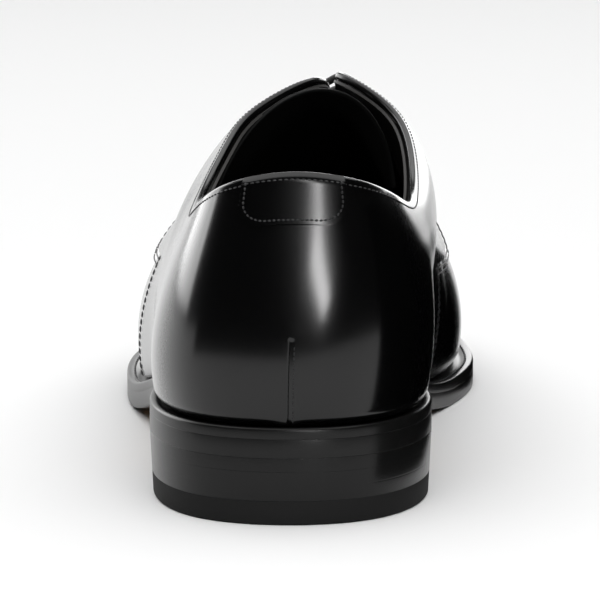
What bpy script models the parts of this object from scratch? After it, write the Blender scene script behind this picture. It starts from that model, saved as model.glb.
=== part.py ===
"""Left lace-up dress shoe with open facings, in metres: +Y to the toe, +X to the inner side, +Z up.

The last is a closed row of ribs. Each rib climbs from the sole's edge to the crown line, which is the
collar behind, the edge of a facing over the instep, and the ridge of the vamp in front. The tables give
one row for each section of the foot, and every leather piece is a wall on that one surface.
"""

from collections import namedtuple

import bmesh
import bpy
import numpy as np

MM = 0.001

# Driving sizes
LENGTH = 304 * MM
BALL_WIDTH = 108 * MM
INSTEP_HEIGHT = 105 * MM
HEEL_BLOCK = 18 * MM
HEEL_BREAST = 72 * MM
TOP_LIFT = 6.5 * MM
OUTSOLE = 5 * MM
WELT = 3 * MM
TOE_SPRING = 8 * MM

# Leather, fits and edges
UPPER_WALL = 1.8 * MM
QUARTER_WALL = 1.3 * MM
TAB_WALL = 1.0 * MM
TONGUE_WALL = 1.8 * MM
INSOLE_WALL = 2.5 * MM
FIT_GAP = 0.35 * MM
FACING_GAP = 2.0 * MM
FACING_SOFTNESS = 1.0 * MM
EDGE_BEVEL = 0.7 * MM
WELT_SEAT = 5 * MM

# Sole profile, as shares of the length
FLAT_START = 0.60
FLAT_END = 0.74

# Heel
HEEL_TAPER = 0.9 * MM
BREAST_HOLLOW = 5 * MM
BREAST_POINTS = 6

# Edge of the quarters, as shares of the length at the sole and at the facing
QUARTER_LOW = 0.50
QUARTER_HIGH = 0.612
QUARTER_TURN = (0.34, 0.43)
RIDGE_STOP = 0.984

# Tab at the back of the collar
TAB_HALF_WIDTH = 12.8 * MM
TAB_DROP = 0.200
TAB_PROUD = 0.006
TAB_CORNER = 0.45

# Tongue, as shares of the length, and how far it reaches down each side of the ridge
TONGUE_START = 0.392
TONGUE_TURN = 0.440
TONGUE_END = 0.650
TONGUE_RISE = 0.54
TONGUE_ROUNDING = 9
TONGUE_LIFT = 3.5 * MM
LACE_ROOM = 3.2 * MM

# Lace and its holes
LACE_DIAMETER = 2.2 * MM
LACE_ROWS = 5
LACE_FIRST = 0.478
LACE_LAST = 0.580
LACE_TURN = 0.6 * MM
LACE_BESIDE = 0.045
HOLE_FROM_EDGE = 9 * MM
HOLE_DIAMETER = 4.2 * MM
HOLE_SIDES = 10

# Fineness of the faceted solids
RIBS_PER_SIDE = 45
RISE_STEPS = 10
SLOPE_STEP = 1e-4
TIP_STEP = 0.004
CLOSING_LENGTH = 0.008

# Outline of the sole: shares of the length and, to each side, of the ball width. The ledge is in mm.
Outline = namedtuple("Outline", "section along inner outer ledge")
OUTLINE = [
    Outline("back", 0.000, 0.000, 0.000, 3.2),
    Outline("heel_turn", 0.034, 0.235, 0.235, 3.2),
    Outline("heel", 0.140, 0.352, 0.352, 3.2),
    Outline("collar", 0.250, 0.320, 0.348, 3.0),
    Outline("shank", 0.335, 0.294, 0.364, 2.8),
    Outline("topline", 0.390, 0.293, 0.384, 2.9),
    Outline("instep", 0.435, 0.305, 0.407, 3.0),
    Outline("facing", 0.510, 0.358, 0.453, 3.6),
    Outline("throat", 0.590, 0.424, 0.491, 4.2),
    Outline("ball", 0.690, 0.478, 0.508, 4.8),
    Outline("toes", 0.830, 0.448, 0.446, 5.0),
    Outline("toe_turn", 0.955, 0.298, 0.240, 5.0),
    Outline("tip", 1.000, 0.035, -0.035, 5.0),
]

# Crown line: shares of the length, of the ball width from the ridge, and of the instep height.
Crown = namedtuple("Crown", "section along ridge inner outer inner_up outer_up")
CROWN = [
    Crown("back", 0.034, 0.016, 0.000, 0.000, 0.876, 0.876),
    Crown("heel_turn", 0.052, 0.018, 0.170, 0.170, 0.843, 0.833),
    Crown("heel", 0.140, 0.022, 0.252, 0.250, 0.762, 0.738),
    Crown("collar", 0.240, 0.032, 0.262, 0.254, 0.760, 0.752),
    Crown("shank", 0.325, 0.044, 0.236, 0.212, 0.862, 0.848),
    Crown("topline", 0.380, 0.052, 0.156, 0.134, 0.946, 0.926),
    Crown("instep", 0.428, 0.086, 0.024, 0.058, 0.998, 0.982),
    Crown("facing", 0.510, 0.084, 0.012, 0.012, 0.905, 0.888),
    Crown("throat", 0.590, 0.062, 0.012, 0.012, 0.780, 0.780),
    Crown("ball", 0.690, 0.052, 0.000, 0.000, 0.640, 0.640),
    Crown("toes", 0.805, 0.046, 0.000, 0.000, 0.500, 0.500),
    Crown("toe_turn", 0.900, 0.040, 0.000, 0.000, 0.425, 0.425),
    Crown("tip", 0.935, 0.036, 0.000, 0.000, 0.395, 0.395),
]

# Ribs: outward lean at the sole and rise at the crown in degrees, and the pull of each as a share of the rib.
Rib = namedtuple("Rib", "section inner_lean outer_lean rise low_pull high_pull")
RIBS = [
    Rib("back", 13, 13, 77, 0.36, 0.36),
    Rib("heel_turn", 12, 12, 74, 0.36, 0.36),
    Rib("heel", 12, 12, 68, 0.36, 0.34),
    Rib("collar", 15, 14, 62, 0.36, 0.34),
    Rib("shank", 19, 13, 52, 0.35, 0.33),
    Rib("topline", 22, 12, 37, 0.34, 0.30),
    Rib("instep", 24, 12, 22, 0.35, 0.26),
    Rib("facing", 20, 12, 15, 0.37, 0.29),
    Rib("throat", 16, 12, 9, 0.39, 0.35),
    Rib("ball", 12, 12, 4, 0.42, 0.41),
    Rib("toes", 8, 8, 0, 0.44, 0.44),
    Rib("toe_turn", 6, 6, 0, 0.46, 0.46),
    Rib("tip", 6, 6, 0, 0.46, 0.46),
]

SECTIONS = [row.section for row in CROWN]
RIDGE_STARTS = SECTIONS.index("throat")


# Smooth closed curves over the sections

def section_knots():
    """Places of the sections round the shoe: 0 at the back, a half at the tip, and on to 1 at the back."""
    outer = np.array([(-row.outer * BALL_WIDTH, row.along * LENGTH) for row in OUTLINE])
    inner = np.array([(row.inner * BALL_WIDTH, row.along * LENGTH) for row in OUTLINE])
    steps = sum(np.linalg.norm(np.diff(side, axis=0), axis=1) for side in (outer, inner))
    reach = np.concatenate([[0], np.cumsum(np.sqrt(steps))])
    half = 0.5 * reach / reach[-1]
    return np.concatenate([half, 1 - half[-2::-1]])


KNOTS = section_knots()


class Loop:
    """A closed cubic spline through one value per section, up the outer side and back down the inner."""

    def __init__(self, outer, inner):
        self.values = np.array(list(outer) + list(inner)[-2:0:-1], float)
        count = len(self.values)
        gaps = np.diff(KNOTS)
        bends = np.zeros((count, count))
        kinks = np.zeros(count)
        for i in range(count):
            before, after = gaps[i - 1], gaps[i]
            following = (i + 1) % count
            bends[i, i - 1] += before / 6
            bends[i, i] += (before + after) / 3
            bends[i, following] += after / 6
            kinks[i] = (self.values[following] - self.values[i]) / after
            kinks[i] -= (self.values[i] - self.values[i - 1]) / before
        self.bend = np.linalg.solve(bends, kinks)

    def __call__(self, around):
        around = np.mod(around, 1.0)
        low = np.clip(np.searchsorted(KNOTS, around, side="right") - 1, 0, len(self.values) - 1)
        high = (low + 1) % len(self.values)
        gap = KNOTS[low + 1] - KNOTS[low]
        far = (around - KNOTS[low]) / gap
        near = 1 - far
        bow = (near**3 - near) * self.bend[low] + (far**3 - far) * self.bend[high]
        return near * self.values[low] + far * self.values[high] + bow * gap**2 / 6


def column(table, name, scale=1.0):
    """The same column up both sides."""
    values = [getattr(row, name) * scale for row in table]
    return Loop(values, values)


SOLE_X = Loop([-row.outer * BALL_WIDTH for row in OUTLINE], [row.inner * BALL_WIDTH for row in OUTLINE])
SOLE_Y = column(OUTLINE, "along", LENGTH)
LEDGE = column(OUTLINE, "ledge", MM)
CROWN_X = Loop(
    [(row.ridge - row.outer) * BALL_WIDTH for row in CROWN],
    [(row.ridge + row.inner) * BALL_WIDTH for row in CROWN],
)
RIDGE_X = column(CROWN, "ridge", BALL_WIDTH)
CROWN_Y = column(CROWN, "along", LENGTH)
CROWN_Z = Loop(
    [row.outer_up * INSTEP_HEIGHT for row in CROWN],
    [row.inner_up * INSTEP_HEIGHT for row in CROWN],
)
LEAN = Loop([row.outer_lean for row in RIBS], [row.inner_lean for row in RIBS])
RISE = column(RIBS, "rise")
LOW_PULL = column(RIBS, "low_pull")
HIGH_PULL = column(RIBS, "high_pull")
THROAT = KNOTS[RIDGE_STARTS]
TOPLINE = KNOTS[SECTIONS.index("topline")]


def smooth_step(low, high, value):
    share = np.clip((value - low) / (high - low), 0, 1)
    return share * share * (3 - 2 * share)


def soft_positive(value, softness):
    """Near the value where it is positive and near 0 where it is negative."""
    return (value + np.sqrt(value**2 + softness**2)) / 2


def around_at(along):
    """Place on the outer side of a section that lies at this share of the length."""
    places = np.linspace(0, 0.5, 400)
    return np.interp(along, SOLE_Y(places) / LENGTH, places)


# Sole and last surfaces

def sole_bottom(y):
    """Height of the walking face over the floor: heel seat, arch, flat tread and toe spring."""
    arch = HEEL_BLOCK * (1 - smooth_step(HEEL_BREAST, FLAT_START * LENGTH, y))
    beyond = np.clip((y / LENGTH - FLAT_END) / (1 - FLAT_END), 0, None)
    return arch + TOE_SPRING * beyond**2


def outward(around):
    """Unit normal of the outline in plan."""
    dx = SOLE_X(around + SLOPE_STEP) - SOLE_X(around - SLOPE_STEP)
    dy = SOLE_Y(around + SLOPE_STEP) - SOLE_Y(around - SLOPE_STEP)
    size = np.hypot(dx, dy)
    return np.stack([-dy / size, dx / size], axis=-1)


def sole_edge(around, inset=0.0):
    """Outline of the sole in plan, drawn in by inset."""
    plan = np.stack([SOLE_X(around), SOLE_Y(around)], axis=-1)
    return plan - outward(around) * np.broadcast_to(inset, np.shape(around))[..., None]


def from_back(around):
    """Place as seen from the back, the same on both sides."""
    return 0.5 - np.abs(np.mod(around, 1.0) - 0.5)


def closing(around):
    """How far the two sides have closed: 0 behind the throat, 1 where they meet on the ridge."""
    return smooth_step(THROAT - CLOSING_LENGTH, THROAT, from_back(around))


def on_ridge(around):
    """True where both sides of the vamp meet on the ridge."""
    return from_back(around) > THROAT - SLOPE_STEP


def crown(around):
    """Point on the crown line. Over the instep the two sides keep the gap between the facings."""
    side = np.where(np.mod(around, 1.0) < 0.5, -1, 1)
    half = side * (CROWN_X(around) - RIDGE_X(around))
    kept = FACING_GAP / 2 + soft_positive(half - FACING_GAP / 2, FACING_SOFTNESS)
    half = np.where(from_back(around) > TOPLINE, kept, half)
    x = RIDGE_X(around) + side * half * (1 - closing(around))
    return np.stack([x, CROWN_Y(around), CROWN_Z(around)], axis=-1)


def ridge_fall(around):
    """Rise of the ridge for each step forward, read beside the tip, where the crown line turns back."""
    place = np.minimum(from_back(around), 0.5 - TIP_STEP)
    dy = CROWN_Y(place + SLOPE_STEP) - CROWN_Y(place - SLOPE_STEP)
    dz = CROWN_Z(place + SLOPE_STEP) - CROWN_Z(place - SLOPE_STEP)
    return dz / np.where(np.abs(dy) < 1e-9, 1e-9, dy)


def rib_point(around, rise):
    """Point on the outer face of the upper: rise runs from 0 at the sole to 1 at the crown."""
    around, rise = np.broadcast_arrays(np.asarray(around, float), np.asarray(rise, float))
    foot = sole_edge(around, LEDGE(around))
    foot = np.concatenate([foot, (sole_top(foot[..., 1]) + FIT_GAP)[..., None]], axis=-1)
    head = crown(around)
    out = outward(around)
    lean = np.radians(LEAN(around))
    climb = np.radians(RISE(around))
    start = np.concatenate([out * np.sin(lean)[..., None], np.cos(lean)[..., None]], axis=-1)
    fall = ridge_fall(around) * closing(around)
    level = np.concatenate([-out, (-out[..., 1] * fall)[..., None]], axis=-1)
    end = level * np.cos(climb)[..., None]
    end[..., 2] += np.sin(climb)
    reach = np.linalg.norm(head - foot, axis=-1)
    low = foot + start * (LOW_PULL(around) * reach)[..., None]
    high = head - end * (HIGH_PULL(around) * reach)[..., None]
    t = rise[..., None]
    s = 1 - t
    return s**3 * foot + 3 * s * s * t * low + 3 * s * t * t * high + t**3 * head


def sole_top(y):
    return sole_bottom(y) + OUTSOLE + WELT


def skin(around, rise, out=0.0):
    """Point at a distance out from the upper's outer face, square to it. The foot of a rib moves level."""
    around, rise = np.broadcast_arrays(np.asarray(around, float), np.asarray(rise, float))
    before = np.clip(rise - SLOPE_STEP, 0, None)
    after = rise + SLOPE_STEP
    along = rib_point(around + SLOPE_STEP, rise) - rib_point(around - SLOPE_STEP, rise)
    up = rib_point(around, after) - rib_point(around, before)
    normal = np.cross(up, along)
    normal[..., 2] = np.where(rise < SLOPE_STEP, 0, normal[..., 2])
    normal /= np.linalg.norm(normal, axis=-1, keepdims=True)
    return rib_point(around, rise) + normal * np.broadcast_to(out, around.shape)[..., None]


# Meshes

def new_object(name, points, faces, finish):
    """An object placed with the middle of the sole's outline at the origin, faces outwards."""
    mesh = bpy.data.meshes.new(name)
    bm = bmesh.new()
    corners = [bm.verts.new(point - ORIGIN) for point in np.asarray(points)]
    for face in faces:
        bm.faces.new([corners[i] for i in dict.fromkeys(face)])
    bmesh.ops.remove_doubles(bm, verts=bm.verts, dist=1e-6)
    bmesh.ops.recalc_face_normals(bm, faces=bm.faces)
    bm.to_mesh(mesh)
    bm.free()
    mesh.shade_smooth()
    mesh.set_sharp_from_angle(angle=np.radians(40))
    mesh.materials.append(finish)
    obj = bpy.data.objects.new(name, mesh)
    bpy.context.scene.collection.objects.link(obj)
    return obj


def grid_faces(columns, rows, first=0):
    """Quads of a grid whose points run row by row within each column."""
    return [
        (first + i * rows + j, first + (i + 1) * rows + j, first + (i + 1) * rows + j + 1, first + i * rows + j + 1)
        for i in range(columns - 1)
        for j in range(rows - 1)
    ]


def wall_solid(name, outer, inner, finish):
    """A wall between two grids of points of the same size, closed along its four edges."""
    columns, rows = outer.shape[:2]
    count = columns * rows
    border = [(i, 0) for i in range(columns)] + [(columns - 1, j) for j in range(1, rows)]
    border += [(i, rows - 1) for i in range(columns - 2, -1, -1)] + [(0, j) for j in range(rows - 2, 0, -1)]
    rim = [i * rows + j for i, j in border]
    faces = grid_faces(columns, rows) + grid_faces(columns, rows, count)
    faces += [(a, b, b + count, a + count) for a, b in zip(rim, rim[1:] + rim[:1])]
    return new_object(name, np.concatenate([outer.reshape(-1, 3), inner.reshape(-1, 3)]), faces, finish)


def ring_faces(lower, upper, count):
    return [(lower + i, lower + (i + 1) % count, upper + (i + 1) % count, upper + i) for i in range(count)]


def plate_faces(first, count):
    """Strips from side to side over a closed outline whose points start at the back."""
    return [
        (first + i, first + i + 1, first + (count - i - 1) % count, first + (count - i) % count)
        for i in range(count // 2)
    ]


def plate_solid(name, loops, finish):
    """A plate through a stack of closed outlines, from its lowest face to its highest."""
    count = len(loops[0])
    faces = plate_faces(0, count) + plate_faces((len(loops) - 1) * count, count)
    for level in range(len(loops) - 1):
        faces += ring_faces(level * count, (level + 1) * count, count)
    return new_object(name, np.concatenate(loops), faces, finish)


def ring_solid(name, loops, finish):
    """A ring through closed outlines that follow each other round its section."""
    count = len(loops[0])
    faces = []
    for level in range(len(loops)):
        faces += ring_faces(level * count, (level + 1) % len(loops) * count, count)
    return new_object(name, np.concatenate(loops), faces, finish)


def leather(name, colour, roughness, coat=0.0):
    material = bpy.data.materials.new(name)
    material.use_nodes = True
    shader = material.node_tree.nodes["Principled BSDF"]
    shader.inputs["Base Color"].default_value = (*colour, 1)
    shader.inputs["Roughness"].default_value = roughness
    shader.inputs["Coat Weight"].default_value = coat
    return material


# Places of the ribs, with one on the throat, and the middle of the outline

def rib_places():
    behind = round(RIBS_PER_SIDE * THROAT / 0.5)
    outer = np.concatenate([
        np.linspace(0, THROAT, behind + 1),
        np.linspace(THROAT, 0.5, RIBS_PER_SIDE - behind + 1)[1:],
    ])
    return np.concatenate([outer, 1 - outer[-2:0:-1]])


PLACES = rib_places()
FINE = np.linspace(0, 1, 2000)
ORIGIN = np.array([
    (SOLE_X(FINE).max() + SOLE_X(FINE).min()) / 2,
    (SOLE_Y(FINE).max() + SOLE_Y(FINE).min()) / 2,
    0,
])


# Sole pieces

def level_loop(plan, height):
    """Plan points lifted to a height for each y."""
    return np.concatenate([plan, height(plan[:, 1])[:, None]], axis=-1)


def make_outsole(finish):
    top = OUTSOLE - FIT_GAP
    drawn_in = sole_edge(PLACES, EDGE_BEVEL)
    edge = sole_edge(PLACES)
    return plate_solid("outsole", [
        level_loop(drawn_in, sole_bottom),
        level_loop(edge, lambda y: sole_bottom(y) + EDGE_BEVEL),
        level_loop(edge, lambda y: sole_bottom(y) + top),
    ], finish)


def make_welt(finish):
    seat = LEDGE(PLACES) + WELT_SEAT
    edge = sole_edge(PLACES)
    return ring_solid("welt", [
        level_loop(edge, lambda y: sole_bottom(y) + OUTSOLE),
        level_loop(edge, lambda y: sole_top(y) - EDGE_BEVEL),
        level_loop(sole_edge(PLACES, EDGE_BEVEL), sole_top),
        level_loop(sole_edge(PLACES, seat), sole_top),
        level_loop(sole_edge(PLACES, seat), lambda y: sole_bottom(y) + OUTSOLE),
    ], finish)


def heel_loop(inset, height):
    """Outline of the heel from one corner of its hollow breast round the back to the other."""
    corner = around_at(HEEL_BREAST / LENGTH)
    back = sole_edge(np.linspace(-corner, corner, 2 * RIBS_PER_SIDE // 3 + 1), inset)
    share = np.linspace(0, 1, BREAST_POINTS + 1)[1:-1, None]
    breast = back[-1] + (back[0] - back[-1]) * share
    breast[:, 1] -= BREAST_HOLLOW * 4 * (share * (1 - share))[:, 0]
    plan = np.concatenate([back, breast])
    return np.concatenate([plan, np.full((len(plan), 1), height)], axis=-1)


def make_heel_layer(name, levels, finish):
    """One layer of the heel through (height, inset) levels, its end faces single polygons."""
    loops = [heel_loop(inset, height) for height, inset in levels]
    count = len(loops[0])
    faces = [tuple(range(count)), tuple(range((len(loops) - 1) * count, len(loops) * count))]
    for level in range(len(loops) - 1):
        faces += ring_faces(level * count, (level + 1) * count, count)
    return new_object(name, np.concatenate(loops), faces, finish)


def make_heel(stack_finish, lift_finish):
    stack_foot = HEEL_TAPER * (1 - TOP_LIFT / HEEL_BLOCK)
    make_heel_layer("top_lift", [
        (0, HEEL_TAPER + EDGE_BEVEL),
        (EDGE_BEVEL, HEEL_TAPER),
        (TOP_LIFT - FIT_GAP, stack_foot),
    ], lift_finish)
    make_heel_layer("heel_stack", [(TOP_LIFT, stack_foot), (HEEL_BLOCK - FIT_GAP, 0)], stack_finish)


def make_insole(finish):
    inset = LEDGE(PLACES) + UPPER_WALL + 2 * FIT_GAP
    plan = sole_edge(PLACES, inset)
    return plate_solid("insole", [
        level_loop(plan, lambda y: sole_top(y) + FIT_GAP),
        level_loop(plan, lambda y: sole_top(y) + FIT_GAP + INSOLE_WALL),
    ], finish)


# Leather pieces on the last

def skin_grid(places, rises, out):
    """Grid of points, one column for each place; rises is one row for all or a row for each place."""
    return skin(places, np.broadcast_to(rises, places.shape), out)


def make_upper(finish):
    """The hollow upper: open below, at the collar and down the throat, and closed along the ridge."""
    count, rows = len(PLACES), RISE_STEPS + 1
    rises = np.linspace(0, 1, rows)
    layers = []
    for out in (0.0, -UPPER_WALL):
        grid = skin(PLACES[:, None], rises[None, :], out)
        for i in np.flatnonzero(on_ridge(PLACES)):
            mirror = (count - i) % count
            grid[i, -1] = grid[mirror, -1] = (grid[i, -1] + grid[mirror, -1]) / 2
        layers.append(grid)
    layers[1][:, 0, 2] = layers[0][:, 0, 2]
    inside = count * rows
    faces = []
    for i in range(count):
        a, b = i * rows, (i + 1) % count * rows
        for j in range(rows - 1):
            faces.append((a + j, b + j, b + j + 1, a + j + 1))
            faces.append((inside + a + j, inside + a + j + 1, inside + b + j + 1, inside + b + j))
        faces.append((a, a + inside, b + inside, b))
        closed = on_ridge(PLACES[i]) and on_ridge(PLACES[(i + 1) % count])
        if not closed:
            top_a, top_b = a + rows - 1, b + rows - 1
            faces.append((top_a, top_b, top_b + inside, top_a + inside))
    return new_object("upper", np.concatenate([layer.reshape(-1, 3) for layer in layers]), faces, finish)


def quarter_edge(rise):
    """Place of the quarters' front edge: it stands back at the sole and runs forward into the facing."""
    along = QUARTER_LOW + (QUARTER_HIGH - QUARTER_LOW) * smooth_step(*QUARTER_TURN, rise)
    return around_at(along)


def make_quarters(finish):
    """Both quarters in one piece round the heel, lapped over the vamp and apart at its ridge."""
    low, high = QUARTER_TURN
    rises = np.concatenate([np.linspace(0, low, 4)[:-1], np.linspace(low, high, 5), np.linspace(high, 1, 6)[1:]])
    rises = rises[None, :]
    share = np.linspace(-1, 1, 2 * (2 * RIBS_PER_SIDE // 3) + 1)[:, None]
    places = share * quarter_edge(rises)
    rises = rises * (1 - (1 - RIDGE_STOP) * closing(places[:, -1:]))
    inner = skin_grid(places, rises, FIT_GAP)
    outer = skin_grid(places, rises, FIT_GAP + QUARTER_WALL)
    outer[:, 0, 2] = inner[:, 0, 2]
    return wall_solid("quarters", outer, inner, finish)


def tab_half_width(rise):
    """Half width of the tab, drawn in round its lower corners."""
    down = np.clip((1 + TAB_PROUD - rise) / (TAB_DROP + TAB_PROUD), 0, 1)
    past = np.clip((down - (1 - TAB_CORNER)) / TAB_CORNER, 0, 1)
    return TAB_HALF_WIDTH * (1 - TAB_CORNER * (1 - np.sqrt(1 - past**2)))


def make_heel_tab(finish):
    """The small tab sewn over the back of the collar."""
    down = np.sin(np.linspace(0, np.pi / 2, 6))
    rises = (1 + TAB_PROUD - (TAB_DROP + TAB_PROUD) * down)[None, :]
    girth = np.linalg.norm(rib_point(SLOPE_STEP, 1.0) - rib_point(0.0, 1.0)) / SLOPE_STEP
    places = np.linspace(-1, 1, 11)[:, None] * tab_half_width(rises) / girth
    lift = 2 * FIT_GAP + QUARTER_WALL
    return wall_solid(
        "heel_tab", skin_grid(places, rises, lift + TAB_WALL), skin_grid(places, rises, lift), finish
    )


def bridge(along, rises, out):
    """Points over the instep from the outer side to the inner, at distances out from the upper's face."""
    place = around_at(along)
    outer = skin(np.full(len(rises), place), rises, out)
    inner = skin(np.full(len(rises), 1 - place), rises, out)
    return np.concatenate([outer, inner[::-1]])


def make_tongue(finish):
    """The tongue: under the facings, with room for the lace, it meets the vamp in front and stands up behind."""
    stations = np.linspace(TONGUE_TURN, TONGUE_END, 8)
    rises = np.linspace(TONGUE_RISE, 1, 6)
    throat = OUTLINE[RIDGE_STARTS].along
    room = FIT_GAP + LACE_ROOM * (1 - smooth_step(throat, TONGUE_END, stations))
    layers = []
    for depth in (UPPER_WALL, UPPER_WALL + TONGUE_WALL):
        grid = np.array([bridge(s, rises, -depth - r) for s, r in zip(stations, room)])
        for _ in range(TONGUE_ROUNDING):
            grid[:, 1:-1] = (grid[:, :-2] + 2 * grid[:, 1:-1] + grid[:, 2:]) / 4
        back = (grid[0] - grid[1]) * (TONGUE_TURN - TONGUE_START) / (stations[1] - stations[0])
        lift = np.outer(TONGUE_LIFT * (1 - np.linspace(-1, 1, grid.shape[1])**2), (0, 0, 1))
        rows = [grid[0] + back * share + lift * share**2 for share in (1.0, 0.5)]
        layers.append(np.concatenate([rows, grid]))
    return wall_solid("tongue", *layers, finish)


# Lace

def hole_rise(along):
    """Rise of the lace holes of one row on each side, at a set distance from the edge of the facing."""
    rises = np.linspace(0.5, 1, 200)
    found = []
    for place in (around_at(along), 1 - around_at(along)):
        line = rib_point(np.full(len(rises), place), rises)
        left = np.cumsum(np.linalg.norm(np.diff(line, axis=0), axis=1)[::-1])[::-1]
        found.append((place, float(np.interp(-HOLE_FROM_EDGE, -left, rises[:-1]))))
    return found


def lace_rows():
    return [hole_rise(along) for along in np.linspace(LACE_FIRST, LACE_LAST, LACE_ROWS)]


def lace_route():
    """One strand: a bar over each row, down through the hole and along under the facing to the next.

    Its first end runs up beside the outer holes, so both ends stop under the top row.
    """
    radius = LACE_DIAMETER / 2
    over = 2 * FIT_GAP + QUARTER_WALL + radius
    under = -UPPER_WALL - 2 * FIT_GAP - radius
    rows = lace_rows()
    beside = [(place, rise - LACE_BESIDE) for (place, rise), _ in rows]
    route = [skin(place, rise, under) for place, rise in beside]
    for number, row in enumerate(reversed(rows)):
        (start, start_rise), (end, end_rise) = row if number % 2 == 0 else row[::-1]
        route += [skin(start, start_rise, depth) for depth in (under, over - LACE_TURN)]
        for place, rise in ((start, start_rise), (end, end_rise)):
            turned = rise + LACE_TURN / np.linalg.norm(rib_point(place, 1.0) - rib_point(place, 0.0))
            levels = [turned, (turned + 1) / 2, 1.0]
            route += [skin(place, level, over) for level in (levels if place == start else levels[::-1])]
        route += [skin(end, end_rise, depth) for depth in (over - LACE_TURN, under)]
    return np.array(route)


def make_lace(finish):
    route = lace_route() - ORIGIN
    curve = bpy.data.curves.new("lace", "CURVE")
    curve.dimensions = "3D"
    curve.bevel_depth = LACE_DIAMETER / 2
    curve.bevel_resolution = 2
    curve.use_fill_caps = True
    spline = curve.splines.new("POLY")
    spline.points.add(len(route) - 1)
    for point, place in zip(spline.points, route):
        point.co = (*place, 1)
    curve.materials.append(finish)
    obj = bpy.data.objects.new("lace", curve)
    bpy.context.scene.collection.objects.link(obj)
    return obj


def hole_cutter():
    """Punches for the lace holes, square to the facings."""
    turn = np.linspace(0, 2 * np.pi, HOLE_SIDES, endpoint=False)
    points, faces = [], []
    for row in lace_rows():
        for place, rise in row:
            low, high = (skin(place, rise, out) for out in (-3 * UPPER_WALL, 3 * UPPER_WALL))
            axis = (high - low) / np.linalg.norm(high - low)
            across = np.cross(axis, (0, 1, 0))
            across /= np.linalg.norm(across)
            along = np.cross(axis, across)
            ring = HOLE_DIAMETER / 2 * (np.outer(np.cos(turn), across) + np.outer(np.sin(turn), along))
            first = len(points)
            points += list(low + ring) + list(high + ring)
            faces += ring_faces(first, first + HOLE_SIDES, HOLE_SIDES)
            faces += [tuple(range(first, first + HOLE_SIDES))]
            faces += [tuple(range(first + HOLE_SIDES, first + 2 * HOLE_SIDES))]
    cutter = new_object("hole_cutter", points, faces, None)
    cutter.hide_render = True
    cutter.display_type = "WIRE"
    return cutter


def punch(obj, cutter):
    modifier = obj.modifiers.new("lace_holes", "BOOLEAN")
    modifier.operation = "DIFFERENCE"
    modifier.object = cutter


def main():
    for obj in list(bpy.data.objects):
        bpy.data.objects.remove(obj)
    patent = leather("patent_leather", (0.006, 0.006, 0.007), 0.16, 1.0)
    lining = leather("lining_leather", (0.012, 0.011, 0.010), 0.55)
    edge = leather("polished_edge", (0.010, 0.010, 0.010), 0.28)
    rubber = leather("top_lift_rubber", (0.020, 0.020, 0.020), 0.55)
    cord = leather("waxed_cord", (0.010, 0.010, 0.010), 0.50)
    make_outsole(edge)
    make_welt(edge)
    make_heel(edge, rubber)
    make_insole(lining)
    cutter = hole_cutter()
    punch(make_upper(patent), cutter)
    punch(make_quarters(patent), cutter)
    make_heel_tab(patent)
    make_tongue(patent)
    make_lace(cord)


main()
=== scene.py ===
"""Looks of a left lace-up dress shoe in black patent leather, in metres.

The last is drawn again from the section tables of the solids, at a finer pitch and with the facings a little
closer at their tops. Every leather piece lies on it: +Y to the toe, +X to the inner side, +Z up, with the
origin under the middle of the sole.
"""

from __future__ import annotations

import logging
import math
from dataclasses import dataclass, field
from enum import Enum
from typing import Callable, Iterable, NamedTuple, Sequence

import bmesh
import bpy
import numpy as np
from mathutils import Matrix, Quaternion, Vector


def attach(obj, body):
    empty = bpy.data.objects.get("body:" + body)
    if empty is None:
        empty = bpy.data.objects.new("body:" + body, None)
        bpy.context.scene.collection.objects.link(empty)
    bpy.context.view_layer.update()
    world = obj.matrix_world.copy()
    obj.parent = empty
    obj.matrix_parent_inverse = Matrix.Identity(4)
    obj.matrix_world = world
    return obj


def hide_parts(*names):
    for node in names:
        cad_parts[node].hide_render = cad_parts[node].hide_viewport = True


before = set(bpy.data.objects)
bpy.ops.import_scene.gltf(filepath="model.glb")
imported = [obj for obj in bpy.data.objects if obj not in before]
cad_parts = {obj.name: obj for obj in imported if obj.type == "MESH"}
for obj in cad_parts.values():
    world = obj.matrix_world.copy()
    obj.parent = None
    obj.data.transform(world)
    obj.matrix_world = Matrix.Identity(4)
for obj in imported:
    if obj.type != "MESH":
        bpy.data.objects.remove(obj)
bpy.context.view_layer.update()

LOG = logging.getLogger("shoe")
MM = 0.001
NUDGE = 1e-4
TINY = 1e-9

Colour = tuple[float, float, float]


class Section(NamedTuple):
    """One section of the foot.

    Places are shares of the sole's length, widths of the ball width and heights of the instep height.
    The ledge is in millimetres and the angles of the rib are in degrees.
    """

    name: str
    along: float
    inner: float
    outer: float
    ledge: float
    crown_along: float
    ridge: float
    crown_inner: float
    crown_outer: float
    inner_up: float
    outer_up: float
    inner_lean: float
    outer_lean: float
    climb: float
    low_pull: float
    high_pull: float


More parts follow.
